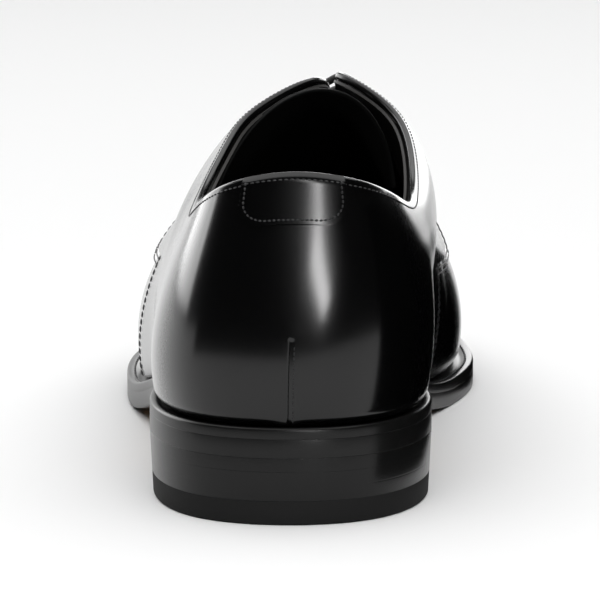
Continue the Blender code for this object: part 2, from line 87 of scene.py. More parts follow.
SECTION_ROWS = [
    ("back", 0, 0, 0, 3.2, 0.034, 0.016, 0, 0, 0.876, 0.876, 13, 13, 77, 0.36, 0.36),
    ("heel_turn", 0.034, 0.235, 0.235, 3.2, 0.052, 0.018, 0.170, 0.170, 0.843, 0.833, 12, 12, 74, 0.36, 0.36),
    ("heel", 0.140, 0.352, 0.352, 3.2, 0.140, 0.022, 0.252, 0.250, 0.762, 0.738, 12, 12, 68, 0.36, 0.34),
    ("collar", 0.250, 0.320, 0.348, 3.0, 0.240, 0.032, 0.262, 0.254, 0.760, 0.752, 15, 14, 62, 0.36, 0.34),
    ("shank", 0.335, 0.294, 0.364, 2.8, 0.325, 0.044, 0.236, 0.212, 0.862, 0.848, 19, 13, 52, 0.35, 0.33),
    ("topline", 0.390, 0.293, 0.384, 2.9, 0.380, 0.052, 0.158, 0.141, 0.946, 0.928, 22, 12, 37, 0.34, 0.30),
    ("instep", 0.435, 0.305, 0.407, 3.0, 0.428, 0.086, 0.007, 0.033, 0.998, 0.984, 24, 12, 22, 0.35, 0.26),
    ("facing", 0.510, 0.358, 0.453, 3.6, 0.510, 0.084, 0.012, 0.012, 0.905, 0.888, 20, 12, 15, 0.37, 0.29),
    ("throat", 0.590, 0.424, 0.491, 4.2, 0.590, 0.062, 0.012, 0.012, 0.780, 0.780, 16, 12, 9, 0.39, 0.35),
    ("ball", 0.690, 0.478, 0.508, 4.8, 0.690, 0.052, 0, 0, 0.640, 0.640, 12, 12, 4, 0.42, 0.41),
    ("toes", 0.830, 0.448, 0.446, 5.0, 0.805, 0.046, 0, 0, 0.500, 0.500, 8, 8, 0, 0.44, 0.44),
    ("toe_turn", 0.955, 0.298, 0.240, 5.0, 0.900, 0.040, 0, 0, 0.425, 0.425, 6, 6, 0, 0.46, 0.46),
    ("tip", 1.000, 0.035, -0.035, 5.0, 0.935, 0.036, 0, 0, 0.395, 0.395, 6, 6, 0, 0.46, 0.46),
]
SECTIONS = [Section(*row) for row in SECTION_ROWS]


def smooth_step(low: float, high: float, value: np.ndarray | float) -> np.ndarray:
    """Smooth rise from 0 at low to 1 at high."""
    share = np.clip((np.asarray(value, float) - low) / (high - low), 0, 1)
    return share * share * (3 - 2 * share)


class Loop:
    """A closed cubic spline through one value per knot."""

    def __init__(self, knots: np.ndarray, values: Sequence[float]) -> None:
        """Solve the spline's bends.

        Args:
            knots: Places of the values, with the first place again at the end, one turn on.
            values: One value per knot, without the repeated one.
        """
        self.knots = knots
        self.values = np.array(values, float)
        count = len(self.values)
        gaps = np.diff(knots)
        bends = np.zeros((count, count))
        kinks = np.zeros(count)
        for i in range(count):
            before, after, following = gaps[i - 1], gaps[i], (i + 1) % count
            bends[i, i - 1] += before / 6
            bends[i, i] += (before + after) / 3
            bends[i, following] += after / 6
            kinks[i] = (self.values[following] - self.values[i]) / after
            kinks[i] -= (self.values[i] - self.values[i - 1]) / before
        self.bend = np.linalg.solve(bends, kinks)

    def __call__(self, around: np.ndarray | float) -> np.ndarray:
        """Value at a place round the loop."""
        around = np.mod(around, 1.0)
        low = np.clip(np.searchsorted(self.knots, around, side="right") - 1, 0, len(self.values) - 1)
        high = (low + 1) % len(self.values)
        gap = self.knots[low + 1] - self.knots[low]
        far = (around - self.knots[low]) / gap
        near = 1 - far
        bow = (near**3 - near) * self.bend[low] + (far**3 - far) * self.bend[high]
        return near * self.values[low] + far * self.values[high] + bow * gap**2 / 6


class Crease(NamedTuple):
    """A soft trough or swelling of the leather between two places on the last.

    Places are (around, rise). A positive depth is a trough and a negative one a swelling.
    """

    start: tuple[float, float]
    end: tuple[float, float]
    width: float
    depth: float


CREASES: list[Crease] = [
    Crease((-0.0012, 0.0), (-0.0012, 0.34), 0.42 * MM, 0.50 * MM),
    Crease((-0.0012, 0.35), (-0.0012, 0.36), 2.2 * MM, -0.05 * MM),
    Crease((-0.0265, 0.89), (-0.0282, 0.72), 1.8 * MM, 0.12 * MM),
]


@dataclass
class Last:
    """The foot-shaped surface that the leather lies on, with the sole under it.

    A place on it is `around`, from 0 at the back up the outer side to a half at the toe and on down the
    inner side to 1, and `rise`, from 0 at the sole to 1 at the crown line.
    """

    length: float = 304 * MM
    ball_width: float = 108 * MM
    instep_height: float = 105 * MM
    heel_block: float = 18 * MM
    heel_breast: float = 72 * MM
    outsole: float = 5 * MM
    welt: float = 3 * MM
    toe_spring: float = 8 * MM
    flat_start: float = 0.60
    flat_end: float = 0.74
    fit_gap: float = 0.35 * MM
    facing_gap: float = 1.2 * MM
    facing_softness: float = 0.6 * MM
    closing_length: float = 0.008
    tip_step: float = 0.004
    feather_depth: float = 1.3 * MM
    feather_height: float = 3.4 * MM
    feather_ease: float = 0.7
    feather_ease_width: float = 4 * MM
    girth_per_length: float = 2.3
    crease_steps: int = 12

    def __post_init__(self) -> None:
        """Lay the splines through the sections."""
        across, along, up = self.ball_width, self.length, self.instep_height
        outer = np.array([(-row.outer * across, row.along * along) for row in SECTIONS])
        inner = np.array([(row.inner * across, row.along * along) for row in SECTIONS])
        steps = sum(np.linalg.norm(np.diff(side, axis=0), axis=1) for side in (outer, inner))
        reach = np.concatenate([[0], np.cumsum(np.sqrt(steps))])
        half = 0.5 * reach / reach[-1]
        self.knots = np.concatenate([half, 1 - half[-2::-1]])
        names = [row.name for row in SECTIONS]
        self.throat = float(self.knots[names.index("throat")])
        self.topline = float(self.knots[names.index("topline")])
        self.throat_along = SECTIONS[names.index("throat")].along
        self.sole_x = self._loop(lambda r: -r.outer * across, lambda r: r.inner * across)
        self.sole_y = self._loop(lambda r: r.along * along)
        self.ledge = self._loop(lambda r: r.ledge * MM)
        self.crown_x = self._loop(
            lambda r: (r.ridge - r.crown_outer) * across, lambda r: (r.ridge + r.crown_inner) * across
        )
        self.ridge_x = self._loop(lambda r: r.ridge * across)
        self.crown_y = self._loop(lambda r: r.crown_along * along)
        self.crown_z = self._loop(lambda r: r.outer_up * up, lambda r: r.inner_up * up)
        self.lean = self._loop(lambda r: r.outer_lean, lambda r: r.inner_lean)
        self.climb = self._loop(lambda r: r.climb)
        self.low_pull = self._loop(lambda r: r.low_pull)
        self.high_pull = self._loop(lambda r: r.high_pull)
        turn = np.linspace(0, 1, 2000)
        middle = [(f(turn).max() + f(turn).min()) / 2 for f in (self.sole_x, self.sole_y)]
        self.origin = np.array([*middle, 0.0])

    def _loop(
        self, outer: Callable[[Section], float], inner: Callable[[Section], float] | None = None
    ) -> Loop:
        """Spline up the outer side and back down the inner, which reads the same values if none are given."""
        back = [(inner or outer)(row) for row in SECTIONS[-2:0:-1]]
        return Loop(self.knots, [outer(row) for row in SECTIONS] + back)

    def around_at(self, along: np.ndarray | float) -> np.ndarray:
        """Place on the outer side of a share of the sole's length."""
        places = np.linspace(0, 0.5, 400)
        return np.interp(along, self.sole_y(places) / self.length, places)

    def sole_bottom(self, y: np.ndarray) -> np.ndarray:
        """Height of the walking face over the floor: heel seat, arch, flat tread and toe spring."""
        arch = self.heel_block * (1 - smooth_step(self.heel_breast, self.flat_start * self.length, y))
        beyond = np.clip((y / self.length - self.flat_end) / (1 - self.flat_end), 0, None)
        return arch + self.toe_spring * beyond**2

    def sole_top(self, y: np.ndarray) -> np.ndarray:
        """Height of the welt's upper face."""
        return self.sole_bottom(y) + self.outsole + self.welt

    def outward(self, around: np.ndarray) -> np.ndarray:
        """Unit normal of the sole's outline in plan."""
        dx = self.sole_x(around + NUDGE) - self.sole_x(around - NUDGE)
        dy = self.sole_y(around + NUDGE) - self.sole_y(around - NUDGE)
        size = np.hypot(dx, dy)
        return np.stack([-dy / size, dx / size], axis=-1)

    def sole_edge(self, around: np.ndarray, inset: np.ndarray | float = 0.0) -> np.ndarray:
        """Outline of the sole in plan, drawn in by inset."""
        plan = np.stack([self.sole_x(around), self.sole_y(around)], axis=-1)
        return plan - self.outward(around) * np.broadcast_to(inset, np.shape(around))[..., None]

    def from_back(self, around: np.ndarray | float) -> np.ndarray:
        """Place as seen from the back, the same on both sides."""
        return 0.5 - np.abs(np.mod(around, 1.0) - 0.5)

    def closing(self, around: np.ndarray | float) -> np.ndarray:
        """How far the two sides have closed: 0 behind the throat, 1 where they meet on the ridge."""
        return smooth_step(self.throat - self.closing_length, self.throat, self.from_back(around))

    def on_ridge(self, around: np.ndarray | float) -> np.ndarray:
        """True where both sides of the vamp meet on the ridge."""
        return self.from_back(around) > self.throat - NUDGE

    def crown(self, around: np.ndarray) -> np.ndarray:
        """Point on the crown line, with the gap between the facings kept over the instep."""
        side = np.where(np.mod(around, 1.0) < 0.5, -1, 1)
        half = side * (self.crown_x(around) - self.ridge_x(around))
        over = half - self.facing_gap / 2
        kept = self.facing_gap / 2 + (over + np.sqrt(over**2 + self.facing_softness**2)) / 2
        half = np.where(self.from_back(around) > self.topline, kept, half)
        x = self.ridge_x(around) + side * half * (1 - self.closing(around))
        return np.stack([x, self.crown_y(around), self.crown_z(around)], axis=-1)

    def ridge_fall(self, around: np.ndarray) -> np.ndarray:
        """Rise of the ridge for each step forward, read beside the tip, where the crown line turns back."""
        place = np.minimum(self.from_back(around), 0.5 - self.tip_step)
        dy = self.crown_y(place + NUDGE) - self.crown_y(place - NUDGE)
        dz = self.crown_z(place + NUDGE) - self.crown_z(place - NUDGE)
        return dz / np.where(np.abs(dy) < TINY, TINY, dy)

    def reach(self, around: np.ndarray | float) -> np.ndarray:
        """Straight length of a rib, from the sole to the crown line."""
        around = np.asarray(around, float)
        return np.linalg.norm(self.rib_point(around, 1.0) - self.rib_point(around, 0.0), axis=-1)

    def rib_point(self, around: np.ndarray | float, rise: np.ndarray | float) -> np.ndarray:
        """Point on the smooth outer face of the upper."""
        around, rise = np.broadcast_arrays(np.asarray(around, float), np.asarray(rise, float))
        foot = self.sole_edge(around, self.ledge(around))
        foot = np.concatenate([foot, (self.sole_top(foot[..., 1]) + self.fit_gap)[..., None]], axis=-1)
        head = self.crown(around)
        out = self.outward(around)
        lean = np.radians(self.lean(around))
        climb = np.radians(self.climb(around))
        start = np.concatenate([out * np.sin(lean)[..., None], np.cos(lean)[..., None]], axis=-1)
        fall = self.ridge_fall(around) * self.closing(around)
        level = np.concatenate([-out, (-out[..., 1] * fall)[..., None]], axis=-1)
        end = level * np.cos(climb)[..., None]
        end[..., 2] += np.sin(climb)
        span = np.linalg.norm(head - foot, axis=-1)
        low = foot + start * (self.low_pull(around) * span)[..., None]
        high = head - end * (self.high_pull(around) * span)[..., None]
        t = rise[..., None]
        s = 1 - t
        return s**3 * foot + 3 * s * s * t * low + 3 * s * t * t * high + t**3 * head

    def relief(self, points: np.ndarray) -> np.ndarray:
        """Height of the creases at points of the smooth surface."""
        total = np.zeros(points.shape[:-1])
        for crease in CREASES:
            share = np.linspace(0, 1, self.crease_steps)
            line = self.rib_point(*(a + (b - a) * share for a, b in zip(crease.start, crease.end)))
            away = np.full(total.shape, np.inf)
            for start, step in zip(line, np.diff(line, axis=0)):
                along = np.clip(((points - start) @ step) / (step @ step), 0, 1)
                away = np.minimum(away, np.linalg.norm(points - start - along[..., None] * step, axis=-1))
            total -= crease.depth * np.exp(-((away / crease.width) ** 2))
        return total

    def feather(self, around: np.ndarray, rise: np.ndarray) -> np.ndarray:
        """How far the leather turns under at the sole, less at the seam up the heel."""
        climbed = rise * 3 * self.low_pull(around) * self.reach(around)
        beside = np.abs(np.mod(around + 0.5, 1.0) - 0.5) * self.length * self.girth_per_length
        kept = 1 - self.feather_ease * np.exp(-((beside / self.feather_ease_width) ** 2))
        return self.feather_depth * kept * np.clip(1 - climbed / self.feather_height, 0, 1) ** 2

    def skin(
        self, around: np.ndarray | float, rise: np.ndarray | float, out: np.ndarray | float = 0.0
    ) -> np.ndarray:
        """Point at a distance from the upper's outer face, in the frame of the solids.

        Args:
            around: Place round the shoe.
            rise: Height along the rib.
            out: Distance square to the face. The foot of a rib moves level.

        Returns:
            Points with the shape of the places and a last axis of three.
        """
        around, rise = np.broadcast_arrays(np.asarray(around, float), np.asarray(rise, float))
        before = np.clip(rise - NUDGE, 0, None)
        along = self.rib_point(around + NUDGE, rise) - self.rib_point(around - NUDGE, rise)
        up = self.rib_point(around, rise + NUDGE) - self.rib_point(around, before)
        normal = np.cross(up, along)
        normal[..., 2] = np.where(rise < NUDGE, 0, normal[..., 2])
        normal /= np.linalg.norm(normal, axis=-1, keepdims=True)
        smooth = self.rib_point(around, rise)
        height = np.broadcast_to(out, around.shape) + self.relief(smooth) - self.feather(around, rise)
        return smooth + normal * height[..., None] - self.origin

    def level(self, plan: np.ndarray, height: np.ndarray | float) -> np.ndarray:
        """Plan points lifted to a height, in the frame of the solids."""
        lifted = np.broadcast_to(height, plan.shape[:-1])[..., None]
        return np.concatenate([plan, lifted], axis=-1) - self.origin


class Mesher:
    """Turns numbered points and faces into objects, and finishes meshes that modifiers shape."""

    SHARP = np.radians(40)
    SOFT_SEGMENTS = 4
    MERGE = 1e-6
    ASKEW = (0.3, 0.2, 0.9)
    MARK = "walking_face"

    @classmethod
    def piece(
        cls, name: str, points: np.ndarray, faces: Iterable[Sequence[int]], marks: np.ndarray | None = None
    ) -> bpy.types.Object:
        """A closed object with its faces outwards.

        Args:
            name: Name of the piece.
            points: Corners, one row each.
            faces: Corners of each face, in order; a repeated corner is dropped.
            marks: Value of the MARK attribute at each corner, if the finish reads it.

        Returns:
            The object, linked to the scene.
        """
        bm = bmesh.new()
        layer = bm.verts.layers.float.new(cls.MARK) if marks is not None else None
        corners = [bm.verts.new(point) for point in np.asarray(points)]
        for corner, mark in zip(corners, marks if marks is not None else ()):
            corner[layer] = mark
        for face in faces:
            loop = list(dict.fromkeys(face))
            if len(loop) > 2:
                bm.faces.new([corners[i] for i in loop])
        bmesh.ops.remove_doubles(bm, verts=bm.verts, dist=cls.MERGE)
        bmesh.ops.dissolve_degenerate(bm, dist=cls.MERGE, edges=bm.edges)
        bmesh.ops.recalc_face_normals(bm, faces=bm.faces)
        mesh = bpy.data.meshes.new(name)
        bm.to_mesh(mesh)
        bm.free()
        return cls.link(name, mesh)

    @classmethod
    def link(cls, name: str, mesh: bpy.types.Mesh) -> bpy.types.Object:
        """An object for a mesh, smooth but for its sharp edges."""
        mesh.shade_smooth()
        mesh.set_sharp_from_angle(angle=cls.SHARP)
        obj = bpy.data.objects.new(name, mesh)
        bpy.context.scene.collection.objects.link(obj)
        return obj

    @classmethod
    def freeze(cls, obj: bpy.types.Object) -> bpy.types.Object:
        """Turn what the modifiers make into the object's own mesh."""
        graph = bpy.context.evaluated_depsgraph_get()
        made = bpy.data.meshes.new_from_object(obj.evaluated_get(graph))
        obj.modifiers.clear()
        obj.data = made
        made.name = obj.name
        return obj

    @classmethod
    def soften(cls, obj: bpy.types.Object, width: float) -> bpy.types.Object:
        """Round the sharp edges of a piece."""
        modifier = obj.modifiers.new("soft_edges", "BEVEL")
        modifier.width = width
        modifier.segments = cls.SOFT_SEGMENTS
        modifier.limit_method = "ANGLE"
        modifier.angle_limit = cls.SHARP
        modifier.use_clamp_overlap = True
        cls.freeze(obj)
        obj.data.shade_smooth()
        obj.data.set_sharp_from_angle(angle=cls.SHARP)
        return obj

    @staticmethod
    def rings(count: int, levels: int, closed: bool, first: int = 0) -> list[tuple[int, ...]]:
        """Quads between closed rings of points that follow each other.

        Args:
            count: Points in a ring.
            levels: Number of rings.
            closed: True if the last ring joins the first.
            first: Number of the first point.

        Returns:
            The quads.
        """
        faces = []
        for level in range(levels if closed else levels - 1):
            low, high = first + level * count, first + (level + 1) % levels * count
            pairs = [(i, (i + 1) % count) for i in range(count)]
            faces += [(low + i, low + j, high + j, high + i) for i, j in pairs]
        return faces

    @staticmethod
    def strips(count: int, first: int) -> list[tuple[int, ...]]:
        """Strips from side to side over a closed ring, paired from its first point."""
        return [
            (first + i, first + i + 1, first + (count - i - 1) % count, first + (count - i) % count)
            for i in range(count // 2)
        ]

    @classmethod
    def stack(
        cls, name: str, loops: Sequence[np.ndarray], capped: bool = True, marks: Sequence[float] | None = None
    ) -> bpy.types.Object:
        """A solid through outlines that start at the back: a capped pile, or a ring if it isn't capped.

        Args:
            name: Name of the piece.
            loops: The outlines, from the lowest on.
            capped: True to close the first and the last outline.
            marks: Mark of each outline, if the finish reads it.

        Returns:
            The solid.
        """
        count = len(loops[0])
        faces = cls.rings(count, len(loops), not capped)
        if capped:
            faces += cls.strips(count, 0) + cls.strips(count, (len(loops) - 1) * count)
        repeated = None if marks is None else np.repeat(marks, count)
        return cls.piece(name, np.concatenate(loops), faces, repeated)

    @classmethod
    def drum(cls, name: str, loops: Sequence[np.ndarray]) -> bpy.types.Object:
        """A solid through closed outlines, with one flat face at each end."""
        count, levels = len(loops[0]), len(loops)
        faces = cls.rings(count, levels, False)
        faces += [tuple(range(first, first + count)) for first in (0, (levels - 1) * count)]
        return cls.piece(name, np.concatenate(loops), faces)

    @staticmethod
    def circle(across: np.ndarray, along: np.ndarray, radius: float, sides: int) -> np.ndarray:
        """Points of a circle round the origin, in the plane of two unit vectors square to each other."""
        turn = np.linspace(0, 2 * np.pi, sides, endpoint=False)
        return radius * (np.outer(np.cos(turn), across) + np.outer(np.sin(turn), along))

    @classmethod
    def wall(cls, name: str, outer: np.ndarray, inner: np.ndarray) -> bpy.types.Object:
        """A wall between two grids of points of the same size, closed along its four edges."""
        columns, rows = outer.shape[:2]
        count = columns * rows
        index = np.arange(count).reshape(columns, rows)
        corners = (index[:-1, :-1], index[1:, :-1], index[1:, 1:], index[:-1, 1:])
        quads = np.stack(corners, axis=-1).reshape(-1, 4)
        rim = [*index[:, 0], *index[-1, 1:], *index[-2::-1, -1], *index[0, -2:0:-1]]
        faces = [tuple(q) for q in quads] + [tuple(q + count) for q in quads]
        faces += [(a, b, b + count, a + count) for a, b in zip(rim, rim[1:] + rim[:1])]
        return cls.piece(name, np.concatenate([outer.reshape(-1, 3), inner.reshape(-1, 3)]), faces)

    @classmethod
    def tube(cls, name: str, path: np.ndarray, radius: float, sides: int = 12) -> bpy.types.Object:
        """A round strand along a path."""
        tangent = np.gradient(path, axis=0)
        tangent /= np.linalg.norm(tangent, axis=1, keepdims=True)
        across = np.cross(tangent[0], cls.ASKEW)
        loops = []
        for point, way in zip(path, tangent):
            across = across - way * (across @ way)
            across /= np.linalg.norm(across)
            loops.append(point + cls.circle(across, np.cross(way, across), radius, sides))
        return cls.drum(name, loops)


def flowing(points: np.ndarray, steps: int) -> np.ndarray:
    """A smooth path through points of the first axis, with a number of steps between two of them."""
    ends = np.concatenate([2 * points[:1] - points[1:2], points, 2 * points[-1:] - points[-2:-1]])
    before, start, end, after = ends[:-3], ends[1:-2], ends[2:-1], ends[3:]
    rows = []
    for t in np.arange(steps) / steps:
        bend = (2 * before - 5 * start + 4 * end - after) * t + (3 * start - before - 3 * end + after) * t * t
        rows.append(start + 0.5 * t * (end - before + bend))
    path = np.stack(rows, axis=1).reshape(-1, *points.shape[1:])
    return np.concatenate([path, points[-1:]])


class Wire:
    """A value in a shader: an output socket, with arithmetic that adds its Math nodes."""

    def __init__(self, tree: bpy.types.NodeTree, socket: bpy.types.NodeSocket) -> None:
        """Wrap an output socket of a tree."""
        self.tree = tree
        self.socket = socket

    @staticmethod
    def make(
        tree: bpy.types.NodeTree,
        kind: str,
        settings: dict[str, object] | None = None,
        inputs: dict[str | int, object] | None = None,
        output: str | int = 0,
    ) -> "Wire":
        """Add any node.

        Args:
            tree: Tree that takes the node.
            kind: Type of the node.
            settings: Its own settings, set first.
            inputs: Values or wires for its sockets, by name or number.
            output: Socket to wrap, by name or number.

        Returns:
            The wrapped output.
        """
        node = tree.nodes.new(kind)
        for name, value in (settings or {}).items():
            setattr(node, name, value)
        for name, value in (inputs or {}).items():
            if isinstance(value, Wire):
                tree.links.new(value.socket, node.inputs[name])
            else:
                node.inputs[name].default_value = value
        return Wire(tree, node.outputs[output])

    def node(
        self,
        kind: str,
        settings: dict[str, object] | None = None,
        inputs: dict[str | int, object] | None = None,
        output: str | int = 0,
    ) -> "Wire":
        """Add a node to this wire's tree, as make does."""
        return Wire.make(self.tree, kind, settings, inputs, output)

    def _math(self, operation: str, first: "Wire | float", second: "Wire | float" = 0.0) -> "Wire":
        """Add a Math node."""
        return self.node("ShaderNodeMath", {"operation": operation}, {0: first, 1: second})

    def __add__(self, other: "Wire | float") -> "Wire":
        """self + other."""
        return self._math("ADD", self, other)

    def __radd__(self, other: float) -> "Wire":
        """other + self."""
        return self._math("ADD", other, self)

    def __sub__(self, other: "Wire | float") -> "Wire":
        """self - other."""
        return self._math("SUBTRACT", self, other)

    def __rsub__(self, other: float) -> "Wire":
        """other - self."""
        return self._math("SUBTRACT", other, self)

    def __mul__(self, other: "Wire | float") -> "Wire":
        """self * other."""
        return self._math("MULTIPLY", self, other)

    def __rmul__(self, other: float) -> "Wire":
        """other * self."""
        return self._math("MULTIPLY", other, self)

    def __abs__(self) -> "Wire":
        """Absolute value."""
        return self._math("ABSOLUTE", self)

    def between(self, low: float, high: float) -> "Wire":
        """Smooth rise from 0 at low to 1 at high."""
        return self.node(
            "ShaderNodeMapRange",
            {"interpolation_type": "SMOOTHSTEP"},
            {"Value": self, "From Min": low, "From Max": high},
        )


class Grain(Enum):
    """Small relief of a surface."""

    NONE = "none"
    CELLS = "cells"
    CLOUDS = "clouds"


@dataclass(frozen=True)
class Finish:
    """A finish in one colour with a small relief."""

    name: str
    slot: str
    colour: Colour
    roughness: float
    specular: float = 0.5
    coat: float = 0.0
    coat_roughness: float = 0.05
    coat_ior: float = 1.5
    grain: Grain = Grain.NONE
    grain_size: float = 0.7 * MM
    grain_depth: float = 0.02 * MM

    def material(self) -> bpy.types.Material:
        """The finish as a material, built once."""
        known = bpy.data.materials.get(self.name)
        if known:
            return known
        made = bpy.data.materials.new(self.name)
        made.use_nodes = True
        shader = made.node_tree.nodes["Principled BSDF"]
        shader.inputs["Base Color"].default_value = (*self.colour, 1)
        shader.inputs["Roughness"].default_value = self.roughness
        shader.inputs["Specular IOR Level"].default_value = self.specular
        shader.inputs["Coat Weight"].default_value = self.coat
        shader.inputs["Coat Roughness"].default_value = self.coat_roughness
        shader.inputs["Coat IOR"].default_value = self.coat_ior
        self.dress(made.node_tree, shader)
        return made

    def place(self, tree: bpy.types.NodeTree) -> Wire:
        """Place on the object, in metres."""
        return Wire.make(tree, "ShaderNodeTexCoord", output="Object")

    def height(self, tree: bpy.types.NodeTree) -> Wire | None:
        """Relief of the surface in metres, if it has one."""
        if self.grain is Grain.NONE:
            return None
        place = self.place(tree)
        inputs = {"Vector": place, "Scale": 1 / self.grain_size}
        if self.grain is Grain.CELLS:
            relief = place.node("ShaderNodeTexVoronoi", {"feature": "SMOOTH_F1"}, inputs)
        else:
            relief = place.node("ShaderNodeTexNoise", None, {**inputs, "Detail": 3.0})
        return relief * self.grain_depth

    def dress(self, tree: bpy.types.NodeTree, shader: bpy.types.Node) -> None:
        """Link what varies over the surface.

        Args:
            tree: Node tree of the material.
            shader: Its Principled shader.
        """
        height = self.height(tree)
        if height:
            bump = height.node("ShaderNodeBump", None, {"Height": height, "Distance": 1.0, "Strength": 1.0})
            tree.links.new(bump.socket, shader.inputs["Normal"])


@dataclass(frozen=True)
class StackedLeather(Finish):
    """Burnished leather in thin level layers, with fine lines between them."""

    layer: float = 4.2 * MM
    line: float = 0.05
    line_depth: float = 0.015 * MM
    waver_scale: float = 25.0
    waver: float = 0.12

    def height(self, tree: bpy.types.NodeTree) -> Wire:
        """Fine level lines and a slight waviness."""
        place = self.place(tree)
        inputs = {"Vector": place, "Scale": self.waver_scale, "Detail": 2.0}
        waver = place.node("ShaderNodeTexNoise", None, inputs)
        z = place.node("ShaderNodeSeparateXYZ", None, {0: place}, output="Z")
        layers = z * (1 / self.layer) + waver * self.waver
        share = layers.node("ShaderNodeMath", {"operation": "FRACT"}, {0: layers})
        lines = abs(share - 0.5).between(0.0, self.line)
        clouds = super().height(tree)
        grooves = lines * self.line_depth
        return grooves + clouds if clouds else grooves


@dataclass(frozen=True)
class SoleLeather(Finish):
    """Sole leather: blacked at the edge and its own colour on the walking face."""

    underside: Colour = (0.42, 0.24, 0.11)
    underside_roughness: float = 0.55
    fibre_scale: float = 90.0
    fibre_shade: float = 0.78

    def dress(self, tree: bpy.types.NodeTree, shader: bpy.types.Node) -> None:
        """Colour the marked walking face."""
        super().dress(tree, shader)
        place = self.place(tree)
        mask = place.node("ShaderNodeAttribute", {"attribute_name": Mesher.MARK}, output="Fac")
        inputs = {"Vector": place, "Scale": self.fibre_scale, "Detail": 4.0}
        fibres = place.node("ShaderNodeTexNoise", None, inputs)
        mix = {"data_type": "RGBA"}
        dark = tuple(self.fibre_shade * c for c in self.underside)
        tan = place.node("ShaderNodeMix", mix, {0: fibres, 6: (*dark, 1), 7: (*self.underside, 1)}, output=2)
        colour = place.node("ShaderNodeMix", mix, {0: mask, 6: (*self.colour, 1), 7: tan}, output=2)
        tree.links.new(colour.socket, shader.inputs["Base Color"])
        rough = mask * (self.underside_roughness - self.roughness) + self.roughness
        tree.links.new(rough.socket, shader.inputs["Roughness"])


PATENT = Finish(
    "patent_gloss", "patent_leather", (0.0012, 0.0012, 0.0013), 0.28, specular=0.05,
    coat=1.0, coat_roughness=0.17, coat_ior=1.43,
    grain=Grain.CELLS, grain_size=0.75 * MM, grain_depth=0.011 * MM,
)
LINING = Finish(
    "lining_matt", "lining_leather", (0.012, 0.011, 0.010), 0.55, grain=Grain.CLOUDS, grain_size=0.9 * MM,
    grain_depth=0.05 * MM,
)
EDGE = StackedLeather(
    "burnished_edge", "edge_leather", (0.006, 0.006, 0.006), 0.24, specular=0.25,
    grain=Grain.CLOUDS, grain_size=1.6 * MM, grain_depth=0.012 * MM,
)
WELT_LEATHER = Finish(
    "welt_burnished", "edge_leather", (0.006, 0.006, 0.006), 0.30, specular=0.28,
    grain=Grain.CLOUDS, grain_size=1.2 * MM, grain_depth=0.012 * MM,
)
SOLE = SoleLeather(
    "sole_blacked", "sole_leather", (0.006, 0.006, 0.006), 0.30, specular=0.28,
    grain=Grain.CLOUDS, grain_size=1.4 * MM, grain_depth=0.012 * MM,
)
RUBBER = Finish(
    "rubber_satin", "lift_rubber", (0.017, 0.017, 0.017), 0.60, specular=0.04,
    grain=Grain.CLOUDS, grain_size=0.8 * MM, grain_depth=0.04 * MM,
)
SOFT_LEATHER = Finish(
    "tongue_soft", "patent_leather", (0.006, 0.006, 0.006), 0.42, specular=0.3, grain=Grain.CLOUDS,
    grain_size=0.9 * MM, grain_depth=0.03 * MM,
)
PAPER = Finish("floor_paper", "floor", (0.90, 0.90, 0.90), 0.6, specular=0.0)
FLAG_CLOTH = Finish("flag_cloth", "flag", (0.004, 0.004, 0.004), 0.9, specular=0.0)
THREAD = Finish("thread", "patent_leather", (0.016, 0.016, 0.017), 0.42)
CORD = Finish(
    "cord_waxed", "waxed_cord", (0.012, 0.012, 0.012), 0.45, grain=Grain.CELLS, grain_size=0.6 * MM,
    grain_depth=0.12 * MM,
)


@dataclass
class Assembly:
    """A group of pieces on the last."""

    last: Last

    def dress(self, obj: bpy.types.Object, finish: Finish, *nodes: str) -> None:
        """Give a piece its finish and its place in the part.

        Args:
            obj: The piece.
            finish: Its finish.
            nodes: CAD nodes that it stands for.
        """
        obj.data.materials.clear()
        obj.data.materials.append(finish.material())
        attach(obj, "root")
        if nodes:
            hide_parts(*nodes)
        LOG.info("%s: %d faces, %s", obj.name, len(obj.data.polygons), finish.name)


